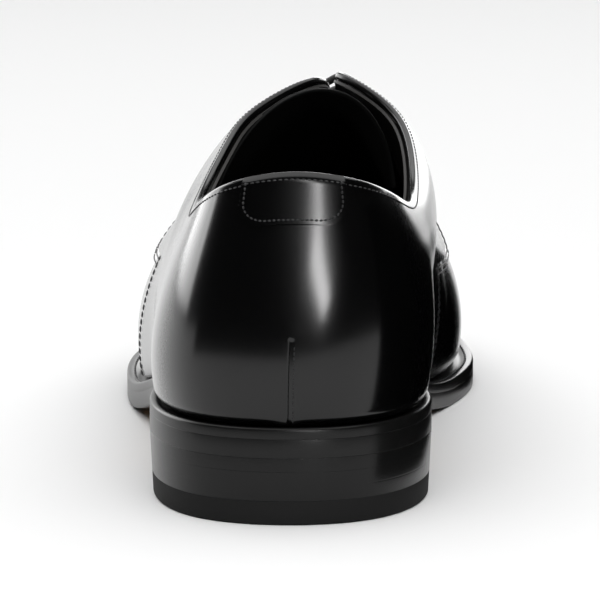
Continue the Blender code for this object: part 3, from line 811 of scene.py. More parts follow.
@dataclass
class Sole(Assembly):
    """Outsole, welt, heel and insole."""

    heel_taper: float = 0.9 * MM
    top_lift: float = 6.5 * MM
    breast_hollow: float = 5 * MM
    breast_points: int = 24
    welt_seat: float = 5 * MM
    upper_wall: float = 1.8 * MM
    insole_wall: float = 2.5 * MM
    edge_round: float = 0.8 * MM
    blacked: float = 1.8 * MM
    seam: float = 0.07 * MM
    hidden_seam: float = 0.06 * MM
    hairline: float = 0.02 * MM
    lift_gap: float = 0.03 * MM
    breast_blend: float = 8 * MM
    face_margin: float = 0.6 * MM
    channel: tuple[tuple[float, float], ...] = (
        (0.45, 0.02 * MM), (0.62, 0.25 * MM), (0.8, 0.7 * MM), (1.0, 0.7 * MM),
    )
    edge_steps: int = 5
    back_points: int = 160
    places: np.ndarray = field(default_factory=lambda: np.linspace(0, 1, 480, endpoint=False))

    def outline(
        self, inset: np.ndarray | float, lift: float, over: Callable[[np.ndarray], np.ndarray]
    ) -> np.ndarray:
        """Closed outline drawn in by inset and lifted over a face of the sole."""
        plan = self.last.sole_edge(self.places, inset)
        return self.last.level(plan, over(plan[:, 1]) + lift)

    def round_edge(
        self, radius: np.ndarray | float, height: float, upper: bool
    ) -> list[tuple[np.ndarray | float, np.ndarray | float]]:
        """(inset, lift) steps round an edge that ends at a height: outwards from below, or inwards above."""
        turn = np.linspace(0, np.pi / 2, self.edge_steps)
        if upper:
            return [(radius * (1 - np.cos(a)), height - radius * (1 - np.sin(a))) for a in turn]
        return [(radius * (1 - np.sin(a)), height + radius * (1 - np.cos(a))) for a in turn]

    def build_outsole(self) -> bpy.types.Object:
        """The outsole, with its walking face drawn in and a rounded lower edge, sharper over the heel."""
        last = self.last
        top = last.outsole - self.hairline
        breast = last.heel_breast
        ahead = smooth_step(breast, breast + self.breast_blend, last.sole_y(self.places))
        low = self.seam + (self.edge_round - self.seam) * ahead
        steps = [(low + self.blacked + margin, 0.0) for margin in (self.face_margin, 0.0)]
        steps += self.round_edge(low, 0.0, False) + self.round_edge(self.hidden_seam, top, True)
        loops = [self.outline(inset, lift, last.sole_bottom) for inset, lift in steps]
        return Mesher.stack("outsole_dressed", loops, marks=[1.0] + [0.0] * (len(loops) - 1))

    def build_welt(self) -> bpy.types.Object:
        """The welt, with a rounded lip and a shallow channel between it and the upper."""
        last = self.last
        low = last.outsole
        high = last.outsole + last.welt
        steps = self.round_edge(self.hidden_seam, low, False) + self.round_edge(self.edge_round, high, True)
        loops = [self.outline(inset, lift, last.sole_bottom) for inset, lift in steps]
        ledge = last.ledge(self.places)
        for share, depth in self.channel:
            inset = np.maximum(ledge * share, self.edge_round)
            loops.append(self.outline(inset, high - depth, last.sole_bottom))
        inner = high - self.channel[-1][1]
        loops += [self.outline(ledge + self.welt_seat, lift, last.sole_bottom) for lift in (inner, low)]
        return Mesher.stack("welt_dressed", loops, capped=False)

    def heel_loop(self, inset: float, height: float) -> np.ndarray:
        """Outline of the heel from one corner of its hollow breast round the back to the other."""
        corner = self.last.around_at(self.last.heel_breast / self.last.length)
        back = self.last.sole_edge(np.linspace(-corner, corner, self.back_points), inset)
        share = np.linspace(0, 1, self.breast_points + 1)[1:-1, None]
        breast = back[-1] + (back[0] - back[-1]) * share
        breast[:, 1] -= self.breast_hollow * 4 * (share * (1 - share))[:, 0]
        return self.last.level(np.concatenate([back, breast]), height)

    def build_heel_layer(self, name: str, steps: Sequence[tuple[float, float]]) -> bpy.types.Object:
        """One layer of the heel through (inset, height) steps."""
        return Mesher.drum(name, [self.heel_loop(inset, height) for inset, height in steps])

    def build_heel(self) -> tuple[bpy.types.Object, bpy.types.Object]:
        """The stack and the top lift, each with soft edges, and a fine seam between them."""
        block, taper = self.last.heel_block, self.heel_taper

        def tapered(steps: Sequence[tuple[float, float]]) -> list[tuple[float, float]]:
            """Draw each step in by the taper at its height."""
            return [(inset + taper * (1 - height / block), height) for inset, height in steps]

        lift = self.round_edge(self.edge_round, 0.0, False)
        lift += self.round_edge(self.seam, self.top_lift - self.lift_gap, True)
        stack = self.round_edge(self.seam, self.top_lift, False)
        stack += self.round_edge(self.seam, block, True)
        return (
            self.build_heel_layer("heel_stack_dressed", tapered(stack)),
            self.build_heel_layer("top_lift_dressed", tapered(lift)),
        )

    def build_insole(self) -> bpy.types.Object:
        """The insole, with a soft edge."""
        last = self.last
        inset = last.ledge(self.places) + self.upper_wall + 2 * last.fit_gap
        low, high = last.fit_gap, last.fit_gap + self.insole_wall
        loops = [self.outline(inset, low, last.sole_top)]
        steps = self.round_edge(self.edge_round, high, True)
        loops += [self.outline(inset + step, height, last.sole_top) for step, height in steps]
        return Mesher.stack("insole_dressed", loops)

    def build(self) -> None:
        """Build and dress the pieces."""
        self.dress(self.build_outsole(), SOLE, "outsole")
        self.dress(self.build_welt(), WELT_LEATHER, "welt")
        stack, lift = self.build_heel()
        self.dress(stack, EDGE, "heel_stack")
        self.dress(lift, RUBBER, "top_lift")
        self.dress(self.build_insole(), LINING, "insole")


@dataclass
class LaceHoles:
    """Rows of holes in the facings."""

    last: Last
    rows: int = 5
    first: float = 0.478
    final: float = 0.580
    from_edge: float = 9 * MM
    diameter: float = 4.2 * MM
    depth: float = 6 * MM
    sides: int = 24
    search_from: float = 0.5
    search_steps: int = 200

    def places(self) -> list[list[tuple[float, float]]]:
        """(around, rise) of the outer and the inner hole of each row."""
        rises = np.linspace(self.search_from, 1, self.search_steps)
        found = []
        for along in np.linspace(self.first, self.final, self.rows):
            place = float(self.last.around_at(along))
            row = []
            for side in (place, 1 - place):
                line = self.last.rib_point(np.full(len(rises), side), rises)
                left = np.cumsum(np.linalg.norm(np.diff(line, axis=0), axis=1)[::-1])[::-1]
                row.append((side, float(np.interp(-self.from_edge, -left, rises[:-1]))))
            found.append(row)
        return found

    def cutter(self) -> bpy.types.Object:
        """Punches for the holes, square to the facings."""
        points, faces = [], []
        for row in self.places():
            for place, rise in row:
                low, high = (self.last.skin(place, rise, out) for out in (-self.depth, self.depth))
                axis = (high - low) / np.linalg.norm(high - low)
                across = np.cross(axis, (0, 1, 0))
                across /= np.linalg.norm(across)
                ring = Mesher.circle(across, np.cross(axis, across), self.diameter / 2, self.sides)
                first = len(points)
                points += [*(low + ring), *(high + ring)]
                faces += Mesher.rings(self.sides, 2, False, first)
                faces += [tuple(range(first + k, first + k + self.sides)) for k in (0, self.sides)]
        return Mesher.piece("hole_punches", np.array(points), faces)

    def punch(self, obj: bpy.types.Object) -> None:
        """Cut the holes through a piece."""
        cutter = self.cutter()
        modifier = obj.modifiers.new("lace_holes", "BOOLEAN")
        modifier.operation = "DIFFERENCE"
        modifier.solver = "EXACT"
        modifier.object = cutter
        Mesher.freeze(obj)
        bpy.data.objects.remove(cutter)


@dataclass
class Upper(Assembly):
    """Vamp, lining and the quarters in one piece round the heel."""

    holes: LaceHoles
    wall: float = 1.8 * MM
    lining_wall: float = 0.8 * MM
    quarter_wall: float = 1.3 * MM
    quarter_low: float = 0.50
    quarter_high: float = 0.612
    turn: tuple[float, float] = (0.34, 0.43)
    ridge_stop: float = 0.984
    flap: float = 3.0 * MM
    fold: float = 0.6 * MM
    lining_drop: float = 0.35 * MM
    overlap: float = 0.05 * MM
    edge_round: float = 1.2 * MM
    ribs_per_side: int = 170
    rows: int = 44
    face_rows: tuple[int, int, int] = (20, 18, 24)
    bead_steps: int = 11
    side_columns: int = 130
    front_columns: tuple[float, ...] = (0, 0.06, 0.25, 0.55, 0.9, 1.3, 2.0, 3.0)
    back_columns: tuple[float, ...] = (0.12, 0.25, 0.4, 0.6, 0.9, 1.3, 1.9, 2.6)

    @property
    def face(self) -> float:
        """Distance of the quarters' outer face from the last."""
        return self.last.fit_gap + self.quarter_wall

    def rise_for(self, around: np.ndarray, distance: np.ndarray | float) -> np.ndarray:
        """Share of a rib that a distance near its head takes."""
        return distance / (3 * self.last.high_pull(around) * self.last.reach(around))

    def edge_place(self, rise: np.ndarray) -> np.ndarray:
        """Place of the quarters' front edge: back at the sole, running forward into the facing."""
        along = self.quarter_low + (self.quarter_high - self.quarter_low) * smooth_step(*self.turn, rise)
        return self.last.around_at(along)

    def build_shell(self, name: str, outer: float, inner: float, drop: float) -> bpy.types.Object:
        """A hollow layer, open below, at the collar and down the throat, and closed along the ridge.

        Args:
            name: Name of the piece.
            outer: Distance of its outer face from the last.
            inner: Distance of its inner face.
            drop: How far it stops under the crown line behind the throat.

        Returns:
            The layer, without its holes.
        """
        last = self.last
        behind = round(self.ribs_per_side * last.throat / 0.5)
        half = np.concatenate([
            np.linspace(0, last.throat, behind + 1),
            np.linspace(last.throat, 0.5, self.ribs_per_side - behind + 1)[1:],
        ])
        places = np.concatenate([half, 1 - half[-2:0:-1]])
        count, rows = len(places), self.rows
        top = 1 - (1 - last.closing(places)) * self.rise_for(places, drop)
        rises = np.linspace(0, 1, rows)[None, :] * top[:, None]
        mirror = (count - np.arange(count)) % count
        ridge = last.on_ridge(places)
        layers = []
        for out in (outer, inner):
            grid = last.skin(places[:, None], rises, out)
            grid[ridge, -1] = ((grid[:, -1] + grid[mirror, -1]) / 2)[ridge]
            layers.append(grid)
        layers[1][:, 0, 2] = layers[0][:, 0, 2]
        inside = count * rows
        faces = []
        for i in range(count):
            a, b = i * rows, (i + 1) % count * rows
            for j in range(rows - 1):
                faces.append((a + j, b + j, b + j + 1, a + j + 1))
                faces.append((inside + a + j, inside + a + j + 1, inside + b + j + 1, inside + b + j))
            faces.append((a, a + inside, b + inside, b))
            if not (ridge[i] and ridge[(i + 1) % count]):
                top_a, top_b = a + rows - 1, b + rows - 1
                faces.append((top_a, top_b, top_b + inside, top_a + inside))
        return Mesher.piece(name, np.concatenate([layer.reshape(-1, 3) for layer in layers]), faces)

    def quarter_columns(self) -> np.ndarray:
        """Columns of the quarters from edge to edge, close together at both edges and at the back."""
        half = float(self.edge_place(np.array(1.0))) * self.last.length * self.last.girth_per_length
        near, back = (np.array(steps) * MM / half for steps in (self.front_columns, self.back_columns))
        between = np.linspace(back[-1], 1 - near[-1], self.side_columns)[1:-1]
        side = np.concatenate([back, between, 1 - near[::-1]])
        return np.concatenate([-side[::-1], [0.0], side])

    def build_quarters(self) -> bpy.types.Object:
        """The quarters, folded round the collar and the facings and rounded at their front edges."""
        last = self.last
        stops = (0, *self.turn, 1)
        low, turned, high = (np.linspace(*span) for span in zip(stops, stops[1:], self.face_rows))
        face = np.concatenate([low[:-1], turned, high[1:]])
        share = self.quarter_columns()[:, None]
        head = share * self.edge_place(np.ones((1, 1)))
        closing = last.closing(head)
        stride = last.rib_point(head + NUDGE, 0.5) - last.rib_point(head, 0.5)
        girth = np.linalg.norm(stride, axis=-1) / NUDGE
        inset = (1 - np.abs(share)) * self.edge_place(face[None, :]) * girth
        thick = np.sqrt(1 - (1 - np.clip(inset / self.edge_round, 0, 1)) ** 2)
        outer = last.fit_gap + self.quarter_wall * thick
        inner = last.fit_gap * closing - self.fold * (1 - closing)
        radius = (outer[:, -1:] - inner) / 2
        stop = 1 - (1 - self.ridge_stop) * closing
        top = stop - self.rise_for(head, radius)
        flap = self.rise_for(head, self.flap) * (1 - closing)
        theta = np.linspace(0, np.pi, self.bead_steps)[None, 1:-1]
        bead_rise = top + self.rise_for(head, radius) * np.sin(theta)
        bead_out = (outer[:, -1:] + inner) / 2 + radius * np.cos(theta)
        rows = np.broadcast_to(face[None, :], inset.shape)
        under = (rows * (top - flap))[:, ::-1]
        rise = np.concatenate([rows * top, bead_rise, top, top - flap, under], axis=1)
        seat = np.full(inset.shape, last.fit_gap)
        out = np.concatenate([outer, bead_out, inner, inner, seat], axis=1)
        turns = np.concatenate([face, np.ones(theta.size + 2), face[::-1]])[None, :]
        rings = last.skin(share * self.edge_place(turns), rise, out)
        rings[:, 0, 2] = rings[:, -1, 2]
        faces = Mesher.rings(rings.shape[1], len(rings), False)
        return Mesher.piece("quarters_dressed", rings.reshape(-1, 3), faces)

    def build(self) -> None:
        """Build and dress the pieces."""
        under = self.flap + (self.face + self.fold) / 2
        vamp = self.build_shell("upper_dressed", 0.0, self.lining_wall - self.wall + self.overlap, under)
        lining = self.build_shell("lining", self.lining_wall - self.wall, -self.wall, self.lining_drop)
        quarters = self.build_quarters()
        for piece in (vamp, lining, quarters):
            self.holes.punch(piece)
        self.dress(vamp, PATENT, "upper")
        self.dress(lining, LINING)
        self.dress(quarters, PATENT, "quarters")


@dataclass
class Trim(Assembly):
    """Heel tab, tongue and lace."""

    upper: Upper
    holes: LaceHoles
    tab_half_width: float = 12.8 * MM
    tab_drop: float = 0.200
    tab_corner: float = 0.45
    tab_wall: float = 0.8 * MM
    tab_top: float = 0.997
    tab_tuck: float = 0.03
    tab_softness: float = 0.45 * MM
    tab_grid: tuple[int, int] = (61, 30)
    tongue_start: float = 0.392
    tongue_turn: float = 0.440
    tongue_end: float = 0.650
    tongue_rise: float = 0.54
    tongue_rounding: int = 9
    tongue_lift: float = 4.2 * MM
    tongue_spread: tuple[float, float] = (5.0 * MM, 5.5 * MM)
    tongue_wave: float = 1.2
    tongue_wall: float = 1.2 * MM
    tongue_bead: float = 0.25 * MM
    tongue_bead_edge: tuple[float, float] = (2.0 * MM, 3.4 * MM)
    tongue_softness: float = 0.7 * MM
    tongue_grid: tuple[int, int] = (8, 6)
    tongue_steps: tuple[int, int] = (12, 8)
    lace_room: float = 3.2 * MM
    lace_diameter: float = 2.2 * MM
    lace_turn: float = 0.6 * MM
    lace_beside: float = 0.045
    lace_steps: int = 5

    def tab_width(self, rise: np.ndarray) -> np.ndarray:
        """Half width of the tab, drawn in round its lower corners."""
        down = np.clip((1 - rise) / self.tab_drop, 0, 1)
        past = np.clip((down - (1 - self.tab_corner)) / self.tab_corner, 0, 1)
        return self.tab_half_width * (1 - self.tab_corner * (1 - np.sqrt(1 - past**2)))

    def girth(self) -> float:
        """Distance round the back of the collar for a whole turn of around."""
        step = self.last.rib_point(NUDGE, 1.0) - self.last.rib_point(0.0, 1.0)
        return float(np.linalg.norm(step)) / NUDGE

    def build_tab(self) -> bpy.types.Object:
        """The tab, sewn on under the folded edge of the collar."""
        last, upper = self.last, self.upper
        near = upper.face + last.fit_gap
        columns, rows = self.tab_grid
        down = np.sin(np.linspace(0, np.pi / 2, rows))
        rise = self.tab_top - (self.tab_top - 1 + self.tab_drop) * down
        places = np.linspace(-1, 1, columns)[:, None] * self.tab_width(rise)[None, :] / self.girth()
        rises = np.broadcast_to(rise, places.shape)
        sunk = near - last.fit_gap - upper.quarter_wall / 2
        tuck = sunk * (1 - smooth_step(0, self.tab_tuck, 1 - rises))
        layers = [last.skin(places, rises, near + thick - tuck) for thick in (self.tab_wall, 0.0)]
        return Mesher.soften(Mesher.wall("heel_tab_dressed", *layers), self.tab_softness)

    def bridge(self, along: float, rises: np.ndarray, out: float) -> np.ndarray:
        """Points over the instep from the outer side to the inner."""
        place = float(self.last.around_at(along))
        sides = [self.last.skin(np.full(len(rises), p), rises, out) for p in (place, 1 - place)]
        return np.concatenate([sides[0], sides[1][::-1]])

    def build_tongue(self) -> bpy.types.Object:
        """The tongue under the facings, with a bead along its free edge."""
        last = self.last
        stations = np.linspace(self.tongue_turn, self.tongue_end, self.tongue_grid[0])
        rises = np.linspace(self.tongue_rise, 1, self.tongue_grid[1])
        free = 1 - smooth_step(last.throat_along, self.tongue_end, stations)
        room = last.fit_gap + self.lace_room * free
        layers = []
        for depth in (self.upper.wall, self.upper.wall + self.tongue_wall):
            grid = np.array([self.bridge(s, rises, -depth - r) for s, r in zip(stations, room)])
            for _ in range(self.tongue_rounding):
                grid[:, 1:-1] = (grid[:, :-2] + 2 * grid[:, 1:-1] + grid[:, 2:]) / 4
            reach = self.tongue_turn - self.tongue_start
            back = (grid[0] - grid[1]) * reach / (stations[1] - stations[0])
            side = np.linspace(-1, 1, grid.shape[1])
            sway = np.where(side < 0, *self.tongue_spread) * np.sin(np.pi * side / self.tongue_wave)
            lift = np.stack([sway, 0 * side, self.tongue_lift * (1 - side**2)], axis=-1)
            rows = [grid[0] + back * share + lift * share**2 for share in (1.0, 0.5)]
            fine = flowing(np.concatenate([rows, grid]), self.tongue_steps[0])
            layers.append(flowing(fine.transpose(1, 0, 2), self.tongue_steps[1]).transpose(1, 0, 2))
        outer, inner = layers
        from_edge = np.linalg.norm(outer - outer[:1], axis=-1)
        swell = self.tongue_bead * (1 - smooth_step(*self.tongue_bead_edge, from_edge))
        thick = outer - inner
        outer += thick / np.linalg.norm(thick, axis=-1, keepdims=True) * swell[..., None]
        return Mesher.soften(Mesher.wall("tongue_dressed", outer, inner), self.tongue_softness)

    def lace_path(self) -> np.ndarray:
        """One strand: a bar over each row, down through the hole and along under the facing to the next."""
        last = self.last
        radius = self.lace_diameter / 2
        over = last.fit_gap + self.upper.face + radius
        under = -self.upper.wall - 2 * last.fit_gap - radius
        rows = self.holes.places()
        route = [last.skin(place, rise - self.lace_beside, under) for (place, rise), _ in rows]
        for number, row in enumerate(reversed(rows)):
            (start, start_rise), (end, end_rise) = row if number % 2 == 0 else row[::-1]
            route += [last.skin(start, start_rise, depth) for depth in (under, over - self.lace_turn)]
            for place, rise in ((start, start_rise), (end, end_rise)):
                turned = rise + self.lace_turn / float(last.reach(place))
                levels = [turned, (turned + 1) / 2, 1.0][::1 if place == start else -1]
                route += [last.skin(place, level, over) for level in levels]
            route += [last.skin(end, end_rise, depth) for depth in (over - self.lace_turn, under)]
        return np.array(route)

    def build_lace(self) -> bpy.types.Object:
        """The lace as a round waxed strand."""
        path = flowing(self.lace_path(), self.lace_steps)
        return Mesher.tube("lace_dressed", path, self.lace_diameter / 2)

    def build(self) -> None:
        """Build and dress the pieces."""
        self.dress(self.build_tab(), PATENT, "heel_tab")
        self.dress(self.build_tongue(), SOFT_LEATHER, "tongue")
        self.dress(self.build_lace(), CORD, "lace")


class StitchTree:
    """Geometry Nodes tree that lays stitches of thread along the edges of a mesh."""

    SIZES = ("Pitch", "Length", "Thickness")

    def __init__(self) -> None:
        """Build the tree."""
        self.tree = bpy.data.node_groups.new("stitches", "GeometryNodeTree")
        face = self.tree.interface
        face.new_socket("Paths", in_out="INPUT", socket_type="NodeSocketGeometry")
        for name in self.SIZES:
            face.new_socket(name, in_out="INPUT", socket_type="NodeSocketFloat")
        face.new_socket("Material", in_out="INPUT", socket_type="NodeSocketMaterial")
        face.new_socket("Stitches", in_out="OUTPUT", socket_type="NodeSocketGeometry")
        given = self.tree.nodes.new("NodeGroupInput").outputs
        curve = self.add("GeometryNodeMeshToCurve", {"Mesh": given["Paths"]})
        spacing = {"Curve": curve["Curve"], "Length": given["Pitch"]}
        points = self.add("GeometryNodeCurveToPoints", spacing, "LENGTH")
        turn = self.add("FunctionNodeAlignRotationToVector", {"Vector": points["Tangent"]})
        turn["Rotation"].node.axis = "X"
        ball = self.add("GeometryNodeMeshUVSphere", {"Segments": 8, "Rings": 6, "Radius": 0.5})
        size = self.add(
            "ShaderNodeCombineXYZ", {"X": given["Length"], "Y": given["Thickness"], "Z": given["Thickness"]}
        )
        laid = self.add("GeometryNodeInstanceOnPoints", {
            "Points": points["Points"], "Instance": ball["Mesh"],
            "Rotation": turn["Rotation"], "Scale": size["Vector"],
        })
        real = self.add("GeometryNodeRealizeInstances", {"Geometry": laid["Instances"]})
        smooth = self.add("GeometryNodeSetShadeSmooth", {"Geometry": real["Geometry"]})
        dressed = {"Geometry": smooth["Geometry"], "Material": given["Material"]}
        done = self.add("GeometryNodeSetMaterial", dressed)
        self.tree.links.new(done["Geometry"], self.tree.nodes.new("NodeGroupOutput").inputs["Stitches"])

    def add(
        self, kind: str, inputs: dict[str, object], mode: str | None = None
    ) -> bpy.types.bpy_prop_collection:
        """Add a node.

        Args:
            kind: Type of the node.
            inputs: Values or output sockets for its inputs.
            mode: Its mode, if it has several.

        Returns:
            The outputs of the node.
        """
        node = self.tree.nodes.new(kind)
        if mode:
            node.mode = mode
        for name, value in inputs.items():
            if isinstance(value, bpy.types.NodeSocket):
                self.tree.links.new(value, node.inputs[name])
            else:
                node.inputs[name].default_value = value
        return node.outputs

    def lay(
        self, name: str, paths: Sequence[np.ndarray], material: bpy.types.Material, sizes: Sequence[float]
    ) -> bpy.types.Object:
        """Stitches along paths.

        Args:
            name: Name of the piece.
            paths: Points of each path, in order.
            material: Material of the thread.
            sizes: Pitch, length and thickness of the stitches, in millimetres.

        Returns:
            The stitches as a plain mesh.
        """
        edges, first = [], 0
        for path in paths:
            edges += [(first + i, first + i + 1) for i in range(len(path) - 1)]
            first += len(path)
        mesh = bpy.data.meshes.new(name)
        mesh.from_pydata(np.concatenate(paths).tolist(), edges, [])
        obj = bpy.data.objects.new(name, mesh)
        bpy.context.scene.collection.objects.link(obj)
        modifier = obj.modifiers.new("stitches", "NODES")
        modifier.node_group = self.tree
        given = {"Material": material, **{key: size * MM for key, size in zip(self.SIZES, sizes)}}
        for item in self.tree.interface.items_tree:
            if item.name in given:
                modifier[item.identifier] = given[item.name]
        return Mesher.freeze(obj)


@dataclass
class Stitching(Assembly):
    """Rows of thread on the collar, the quarters, the tab, the back seam and the welt."""

    upper: Upper
    trim: Trim
    sink: float = 0.06 * MM
    collar_inset: float = 2.3 * MM
    collar_stop: float = 0.006
    collar_points: int = 500
    edge_insets: tuple[float, ...] = (1.9 * MM, 3.6 * MM)
    edge_span: tuple[float, float] = (0.02, 0.955)
    edge_points: int = 160
    tab_inset: float = 1.1 * MM
    tab_row_top: float = 0.967
    tab_step: float = 0.4 * MM
    tab_points: tuple[int, int] = (24, 16)
    seam_beside: float = 1.35 * MM
    seam_span: tuple[float, float] = (0.02, 0.31)
    seam_points: int = 40
    welt_share: float = 0.52
    welt_sink: float = 0.02 * MM
    welt_points: int = 700

    def inset(self, places: np.ndarray, rises: np.ndarray, distance: float, out: float) -> np.ndarray:
        """A path beside a line on the last, to its left as it runs, seen from outside.

        Args:
            places: Places of the line.
            rises: Rises of the line.
            distance: How far to the left.
            out: Distance from the last.

        Returns:
            Points of the path.
        """
        last = self.last
        along = last.rib_point(places + NUDGE, rises) - last.rib_point(places - NUDGE, rises)
        up = last.rib_point(places, rises + NUDGE) - last.rib_point(places, rises - NUDGE)
        along, up = along / (2 * NUDGE), up / (2 * NUDGE)
        normal = np.cross(up, along)
        normal /= np.linalg.norm(normal, axis=-1, keepdims=True)
        way = np.gradient(last.rib_point(places, rises), axis=0)
        way /= np.linalg.norm(way, axis=-1, keepdims=True)
        side = np.cross(normal, way) * distance
        axes = np.stack([along, up], axis=-1)
        step = np.array([np.linalg.lstsq(pair, aside, rcond=None)[0] for pair, aside in zip(axes, side)])
        return last.skin(places + step[:, 0], rises + step[:, 1], out)

    def collar_path(self) -> np.ndarray:
        """Row under the folded edge of the collar and the facings."""
        upper = self.upper
        end = float(upper.edge_place(np.array(1.0))) - self.collar_stop
        places = np.linspace(-end, end, self.collar_points)
        rise = 1 - upper.rise_for(places, self.collar_inset)
        beyond = np.abs(places) * self.trim.girth() - self.trim.tab_half_width
        on_tab = 1 - smooth_step(-self.tab_step, self.tab_step, beyond)
        over_tab = (self.last.fit_gap + self.trim.tab_wall) * on_tab
        return self.last.skin(places, rise, upper.face + self.sink + over_tab)

    def edge_paths(self) -> list[np.ndarray]:
        """Rows along the front edges of the quarters."""
        upper = self.upper
        rise = np.linspace(*self.edge_span, self.edge_points)
        place = upper.edge_place(rise)
        paths = []
        for distance in self.edge_insets:
            paths.append(self.inset(place, rise, distance, upper.face + self.sink))
            paths.append(self.inset(1 - place, rise, -distance, upper.face + self.sink))
        return paths

    def tab_path(self) -> np.ndarray:
        """Row round the tab, from the collar down and up again."""
        trim, inset = self.trim, self.tab_inset
        out = self.upper.face + self.last.fit_gap + trim.tab_wall + self.sink
        rise_per_m = float(self.upper.rise_for(np.zeros(1), 1.0)[0])
        down, across = self.tab_points
        foot = 1 - trim.tab_drop + inset * rise_per_m
        rise = self.tab_row_top - (self.tab_row_top - foot) * np.sin(np.linspace(0, np.pi / 2, down))
        scaled = 1 - (1 - rise) * trim.tab_drop / (1 - foot)
        width = (trim.tab_width(scaled) - inset) / trim.girth()
        base = np.linspace(width[-1], -width[-1], across)[1:-1]
        places = np.concatenate([width, base, -width[::-1]])
        rises = np.concatenate([rise, np.full(len(base), rise[-1]), rise[::-1]])
        return self.last.skin(places, rises, out)

    def seam_path(self) -> np.ndarray:
        """Small stitches beside the seam up the middle of the heel."""
        rise = np.linspace(*self.seam_span, self.seam_points)
        place = np.full(len(rise), -self.seam_beside / self.trim.girth())
        return self.last.skin(place, rise, self.upper.face + self.sink / 2)

    def welt_path(self) -> np.ndarray:
        """Row on the welt from one side of the heel round the toe to the other."""
        last = self.last
        start = float(last.around_at(last.heel_breast / last.length))
        places = np.linspace(start, 1 - start, self.welt_points)
        plan = last.sole_edge(places, last.ledge(places) * self.welt_share)
        return last.level(plan, last.sole_top(plan[:, 1]) - self.welt_sink)

    def build(self) -> None:
        """Lay and dress the rows."""
        tree = StitchTree()
        thread = THREAD.material()
        rows = [
            ("stitches_collar", [self.collar_path()], (1.5, 1.15, 0.40)),
            ("stitches_quarters", self.edge_paths(), (2.2, 1.8, 0.42)),
            ("stitches_tab", [self.tab_path()], (1.2, 0.95, 0.56)),
            ("stitches_seam", [self.seam_path()], (1.3, 0.9, 0.34)),
            ("stitches_welt", [self.welt_path()], (3.2, 2.6, 0.75)),
        ]
        for name, paths, sizes in rows:
            self.dress(tree.lay(name, paths, thread, sizes), THREAD)


@dataclass(frozen=True)
class SoftBox:
    """A soft rectangular light, for the matt surfaces or for the gloss alone."""

    name: str
    at: tuple[float, float, float]
    towards: tuple[float, float, float]
    size: tuple[float, float]
    power: float
    roll: float = 0.0
    matt: bool = False

    def hang(self) -> bpy.types.Object:
        """Add the light to the scene.

        Returns:
            The light, unseen by the camera.
        """
        light = bpy.data.lights.new(self.name, "AREA")
        light.shape = "RECTANGLE"
        light.size, light.size_y = self.size
        light.energy = self.power
        obj = bpy.data.objects.new(self.name, light)
        obj.visible_camera = False
        obj.visible_diffuse = self.matt
        obj.visible_glossy = not self.matt
        obj.location = self.at
        aim = (Vector(self.towards) - Vector(self.at)).to_track_quat("-Z", "Y")
        obj.rotation_euler = (aim @ Quaternion((0, 0, 1), math.radians(self.roll))).to_euler()
        bpy.context.scene.collection.objects.link(obj)
        return obj


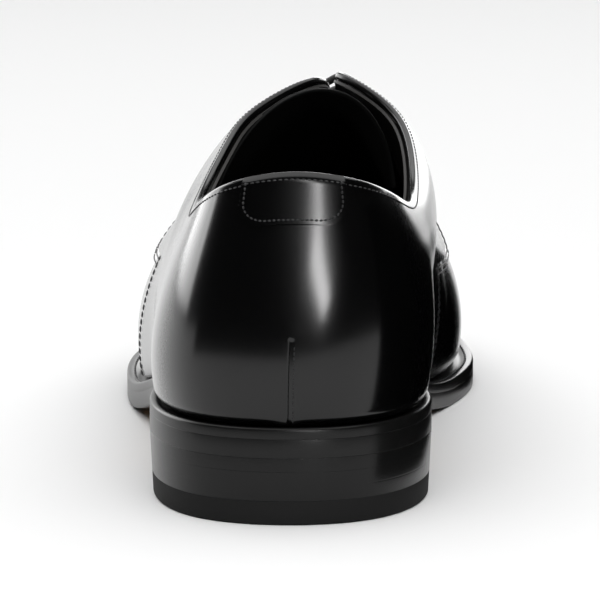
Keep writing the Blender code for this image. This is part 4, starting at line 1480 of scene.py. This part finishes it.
@dataclass
class Studio:
    """Pale floor, soft lights, surroundings and camera."""

    camera_at: tuple[float, float, float] = (0.03351, -1.21762, 0.22674)
    aim: tuple[float, float, float] = (0.00433, -0.12, 0.05487)
    lens: float = 250.2
    floor_near: float = 0.38
    floor_side: float = 0.05
    floor_start: float = -0.12
    floor_far: float = 2.6
    floor_half: float = 1.6
    floor_steps: int = 49
    card: tuple[tuple[float, float, float], ...] = (
        (-0.148, 0.060, 0.092),
        (-0.085, 0.060, 0.092),
        (-0.040, 0.066, 0.088),
        (-0.010, 0.067, 0.074),
        (0.020, 0.063, 0.058),
        (0.055, 0.0555, 0.046),
        (0.095, 0.058, 0.038),
        (0.145, 0.075, 0.030),
    )
    backdrop: float = 0.955
    surround: float = 0.02
    lights: tuple[SoftBox, ...] = (
        SoftBox("overhead", (0.0, 0.55, 2.2), (0.0, 0.55, 0.0), (5.0, 5.0), 122.0, matt=True),
        SoftBox("front_fill", (0.0, -1.6, 1.3), (0.0, -0.1, 0.0), (2.0, 1.0), 16.0, matt=True),
        SoftBox("ceiling", (0.0, 0.3, 1.8), (0.0, 0.1, 0.0), (3.0, 2.6), 45.0),
        SoftBox("left_wall", (-1.1, 1.09, 0.55), (0.0, 0.84, 0.2), (1.5, 1.02), 18.0),
        SoftBox("left_far", (-0.72, 2.3, 0.6), (0.0, 0.0, 0.1), (1.25, 1.2), 5.4),
        SoftBox("left_mid", (-1.15, 0.17, 0.58), (0.0, 0.0, 0.1), (0.20, 0.95), 0.8, roll=-38.0),
        SoftBox("right_wall", (0.9, 2.2, 0.55), (0.0, 0.2, 0.1), (2.2, 1.2), 29.0),
        SoftBox("strip", (0.585, -1.9, 0.465), (0.0, -0.15, 0.07), (0.22, 0.64), 10.4, roll=43.0),
        SoftBox("strip_top", (0.21, -1.9, 0.90), (0.0, -0.15, 0.07), (0.17, 0.60), 2.6, roll=38.0),
    )

    def build_floor(self) -> None:
        """Lay the floor, with a round near edge."""
        x, start, far = self.floor_half, self.floor_start, self.floor_far
        side, near = self.floor_side, self.floor_near
        turn = np.linspace(np.pi, 2 * np.pi, self.floor_steps)
        arc = [(side + near * np.cos(a), start + near * np.sin(a), 0) for a in turn]
        outline = [(-x, far, 0), (-x, start, 0), *arc, (x, start, 0), (x, far, 0)]
        mesh = bpy.data.meshes.new("floor")
        mesh.from_pydata(outline, [], [tuple(range(len(outline)))])
        mesh.materials.append(PAPER.material())
        obj = bpy.data.objects.new("floor", mesh)
        bpy.context.scene.collection.objects.link(obj)

    def build_flag(self) -> bpy.types.Collection:
        """Stand a dark card at the inner side, which only the gloss shows.

        Returns:
            A collection that keeps the card from shading the lights that take it as their blockers.
        """
        count = len(self.card)
        points = [(x, y, height * top) for height in (0, 1) for y, x, top in self.card]
        mesh = bpy.data.meshes.new("flag")
        mesh.from_pydata(points, [], [(i, i + 1, i + 1 + count, i + count) for i in range(count - 1)])
        mesh.materials.append(FLAG_CLOTH.material())
        obj = bpy.data.objects.new("flag", mesh)
        obj.visible_camera = obj.visible_diffuse = False
        bpy.context.scene.collection.objects.link(obj)
        unshaded = bpy.data.collections.new("unshaded")
        unshaded.objects.link(obj)
        unshaded.collection_objects[0].light_linking.link_state = "EXCLUDE"
        return unshaded

    def build_world(self) -> None:
        """Pale to the camera, and dim to the leather, which takes its light from the soft boxes."""
        world = bpy.data.worlds.new("studio")
        world.use_nodes = True
        tree = world.node_tree
        ray = Wire.make(tree, "ShaderNodeLightPath", output="Is Camera Ray")
        strength = ray * (self.backdrop - self.surround) + self.surround
        tree.links.new(strength.socket, tree.nodes["Background"].inputs["Strength"])
        tree.nodes["Background"].inputs["Color"].default_value = (1, 1, 1, 1)
        bpy.context.scene.world = world

    def build_camera(self) -> None:
        """Set the camera where the photograph was taken from."""
        camera = bpy.data.cameras.new("camera")
        camera.lens = self.lens
        obj = bpy.data.objects.new("camera", camera)
        obj.location = self.camera_at
        obj.rotation_euler = (Vector(self.aim) - Vector(self.camera_at)).to_track_quat("-Z", "Y").to_euler()
        bpy.context.scene.collection.objects.link(obj)
        bpy.context.scene.camera = obj

    def build(self) -> None:
        """Build the studio."""
        bpy.context.scene.view_settings.view_transform = "Standard"
        self.build_floor()
        unshaded = self.build_flag()
        self.build_world()
        self.build_camera()
        for light in self.lights:
            lamp = light.hang()
            if light.matt:
                lamp.light_linking.blocker_collection = unshaded


def main() -> None:
    """Build the shoe and the studio."""
    logging.basicConfig(level=logging.INFO, format="%(message)s")
    last = Last()
    holes = LaceHoles(last)
    upper = Upper(last, holes)
    trim = Trim(last, upper, holes)
    for assembly in (Sole(last), upper, trim, Stitching(last, upper, trim)):
        assembly.build()
    Studio().build()


if __name__ == "__main__":
    main()
